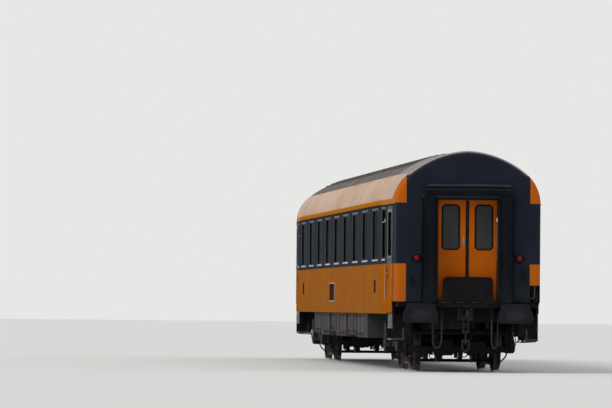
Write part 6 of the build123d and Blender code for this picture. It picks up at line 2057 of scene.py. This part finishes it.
@dataclass
class Interior:
    """Luggage racks, tables, compartment doors, corridor rail and ceiling lights."""

    corridor: float = 0.55
    wall: float = 1.17
    rails: tuple = ((0.10, 2.70), (0.22, 2.69), (0.34, 2.71))

    def compartment(self, middle: float) -> Parts:
        """Racks, table, light and sliding door of one compartment."""
        racks = []
        for sign in SIDES:
            back, tip = middle + sign * self.wall, middle + sign * 0.80
            for out, z in self.rails:
                x = middle + sign * (self.wall - out)
                racks.append(tube(np.array([(x, -1.30, z), (x, -0.4, z), (x, 0.50, z)]), 0.010, 8))
            racks += [soft_block((tip, y - 0.012, 2.675), (back, y + 0.012, 2.695), 0.005)
                      for y in (-1.2, -0.4, 0.4)]
        door = side_spot(middle, self.corridor + 0.015, 2.15)
        frame_profile = [(0, -0.014), (0, 0.014), (0.035, 0.014), (0.04, 0.0), (0.035, -0.014)]
        return [*in_finish(PALE, *racks),
                (soft_block((middle - 0.22, -1.34, 1.985), (middle + 0.22, -1.14, 2.01)), LAMINATE),
                (soft_block((middle - 0.30, -0.62, 3.225), (middle + 0.30, -0.44, 3.256)), GLOW),
                (door.ring(0.67, 1.72, 0.04, frame_profile, 4), ALLOY),
                (door.block((-0.30, -0.83, -0.01), (0.30, -0.15, 0.01)), LAMINATE),
                (door.block((-0.30, -0.15, -0.003), (0.30, 0.83, 0.003), 0.001), PANE)]

    def build(self) -> None:
        """Make the fittings of all compartments and of the corridor as one piece."""
        piece = Piece("inner_fittings", "carbody", "inner_panel")
        for cell in range(BAYS):
            piece.parts += self.compartment((cell - BAYS // 2) * BAY)
        piece.add(PALE, *(tube(np.array([(x, 1.29, z) for x in (-10.6, 0.0, 10.6)]), 0.014, 10)
                          for z in (1.95, 2.24)))
        piece.add(PALE, *(soft_block((x - 0.012, 1.285, 1.94), (x + 0.012, 1.345, 1.96), 0.004)
                          for x in np.arange(-10, 11) * 1.06))
        lamp = soft_block((-0.4, 0.85, 3.232), (0.4, 1.0, 3.256))
        piece.add(GLOW, *(lamp.at(x, 0, 0) for x in np.arange(-10, 10.1, 2.5)))
        piece.make()


# The scene round the coach

def dress_nodes() -> None:
    """Give every CAD node that is still shown its finish."""
    slots = {part["node"]: part["material_slot"] for part in frame["record"]["subparts"]}
    special = {"end_glass": DOOR_PANE, "roof_ends": ROOF, "entrance_doors": DOOR_LIVERY,
               "bridge_plate": PLATE}
    for name, made in frame["nodes"].items():
        finish = next((finish for start, finish in special.items() if name.startswith(start)),
                      NODE_FINISHES[slots[name]])
        if isinstance(finish, Finish):
            finish = finish.flat()
        made.data.materials.clear()
        made.data.materials.append(finish.material())


@dataclass
class Studio:
    """Camera at the photograph's place, plain floor and soft light."""

    place: tuple = (118.996, -10.531, 1.1746 + RAIL_TOP)
    yaw: float = -0.0711
    pitch: float = 0.0175
    roll: float = 0.0092
    lens: float = 341.6
    floor_radius: float = 320.0
    floor_colour: Colour = chart(226, 224, 220)
    floor_second: Colour = chart(222, 220, 216)
    sky_colour: tuple = (0.94, 0.97, 1.0, 1.0)
    seen_colour: tuple = (0.80, 0.80, 0.79, 1.0)
    sun_from: tuple = (0.45, -0.75, 0.8)

    def camera(self) -> None:
        """Make the camera with the photograph's viewing angle."""
        c, s, level_part = math.cos(self.yaw), math.sin(self.yaw), math.cos(self.pitch)
        ahead = Vector((-c * level_part, -s * level_part, math.sin(self.pitch)))
        level = Vector((-s, c, 0.0))
        upright = level.cross(ahead)
        right = math.cos(self.roll) * level + math.sin(self.roll) * upright
        up = -math.sin(self.roll) * level + math.cos(self.roll) * upright
        lens = bpy.data.cameras.new("camera")
        lens.sensor_width, lens.lens, lens.sensor_fit = 36.0, self.lens, "HORIZONTAL"
        lens.clip_start, lens.clip_end = 1.0, 900.0
        made = linked("camera", lens)
        turned = Matrix((right, up, -ahead)).transposed().to_4x4()
        made.matrix_world = Matrix.Translation(self.place) @ turned
        bpy.context.scene.camera = made

    def mixed(self, sheet: Sheet, share: object, first: Socket, second: Socket, out: str) -> None:
        """Put out a mix of two shaders."""
        pick = sheet.node("ShaderNodeMixShader")
        for index, value in enumerate((share, first, second)):
            sheet.feed(pick.inputs[index], value)
        sheet.feed(sheet.tree.nodes[out].inputs["Surface"], pick.outputs[0])

    def floor(self) -> None:
        """Make the round floor, pale from above and clear from below."""
        angle = circle(96)
        ring = self.floor_radius * np.stack([np.cos(angle), np.sin(angle), np.zeros(96)], -1)
        mesh = bpy.data.meshes.new("floor")
        mesh.from_pydata(ring.tolist(), [], [list(range(96))])
        mesh.materials.append(material_once("floor_pale", self.fill_floor))
        made = linked("floor", mesh)

    def fill_floor(self, sheet: Sheet, shader: bpy.types.Node) -> None:
        """Set the floor's shader."""
        shade = sheet.noise(sheet.place(), 0.6, 3.0)
        sheet.feed(shader.inputs["Base Color"], sheet.blend(shade, self.floor_colour, self.floor_second))
        shader.inputs["Roughness"].default_value = 0.95
        shader.inputs["Specular IOR Level"].default_value = 0.1
        self.mixed(sheet, sheet.geometry("Backfacing"), shader.outputs[0],
                   sheet.node("ShaderNodeBsdfTransparent").outputs[0], "Material Output")

    def light(self) -> None:
        """Make a soft sky and one wide sun."""
        world = bpy.data.worlds.new("studio")
        bpy.context.scene.world = world
        world.use_nodes = True
        sheet = Sheet(world.node_tree)
        sky, seen = world.node_tree.nodes["Background"], sheet.node("ShaderNodeBackground")
        sky.inputs["Color"].default_value = self.sky_colour
        sky.inputs["Strength"].default_value = 0.72
        seen.inputs["Color"].default_value = self.seen_colour
        paths = sheet.node("ShaderNodeLightPath").outputs
        through = sheet.math("MAXIMUM", paths["Is Camera Ray"], sheet.math(
            "MAXIMUM", paths["Is Glossy Ray"], paths["Is Transmission Ray"]))
        self.mixed(sheet, through, sky.outputs[0], seen.outputs[0], "World Output")
        sun = bpy.data.lights.new("sun", "SUN")
        sun.energy, sun.angle = 1.1, math.radians(25)
        made = linked("sun", sun)
        made.rotation_mode = "QUATERNION"
        made.rotation_quaternion = Vector(self.sun_from).to_track_quat("Z", "Y")
        bpy.context.scene.view_settings.view_transform = "Standard"

    def build(self) -> None:
        """Make the whole studio."""
        self.camera()
        self.floor()
        self.light()


def main() -> None:
    """Build the coach's looks in order, reporting each piece."""
    logging.basicConfig(level=logging.INFO, format="%(name)s: %(message)s")
    Studio().build()
    BrakeHoses().build()
    dress_nodes()
    axles = [side * BOGIE_X + half for side in (1, -1) for half in (HALF_BASE, -HALF_BASE)]
    groups = [EndShell(), Gangway(), EndDoors(), BridgePlates(), SideWindows(), EntranceTrim(), StepTrim(),
              Displays(), Buffers(), DrawGear(), EndFittings(), Cases(), AirTanks(), Seats(), Interior(),
              Bogie(End.REAR), Bogie(End.FRONT), *(Wheelset(number, x) for number, x in enumerate(axles, 1))]
    for group in groups:
        LOG.info("building %s", type(group).__name__)
        group.build()


if __name__ == "__main__":
    main()
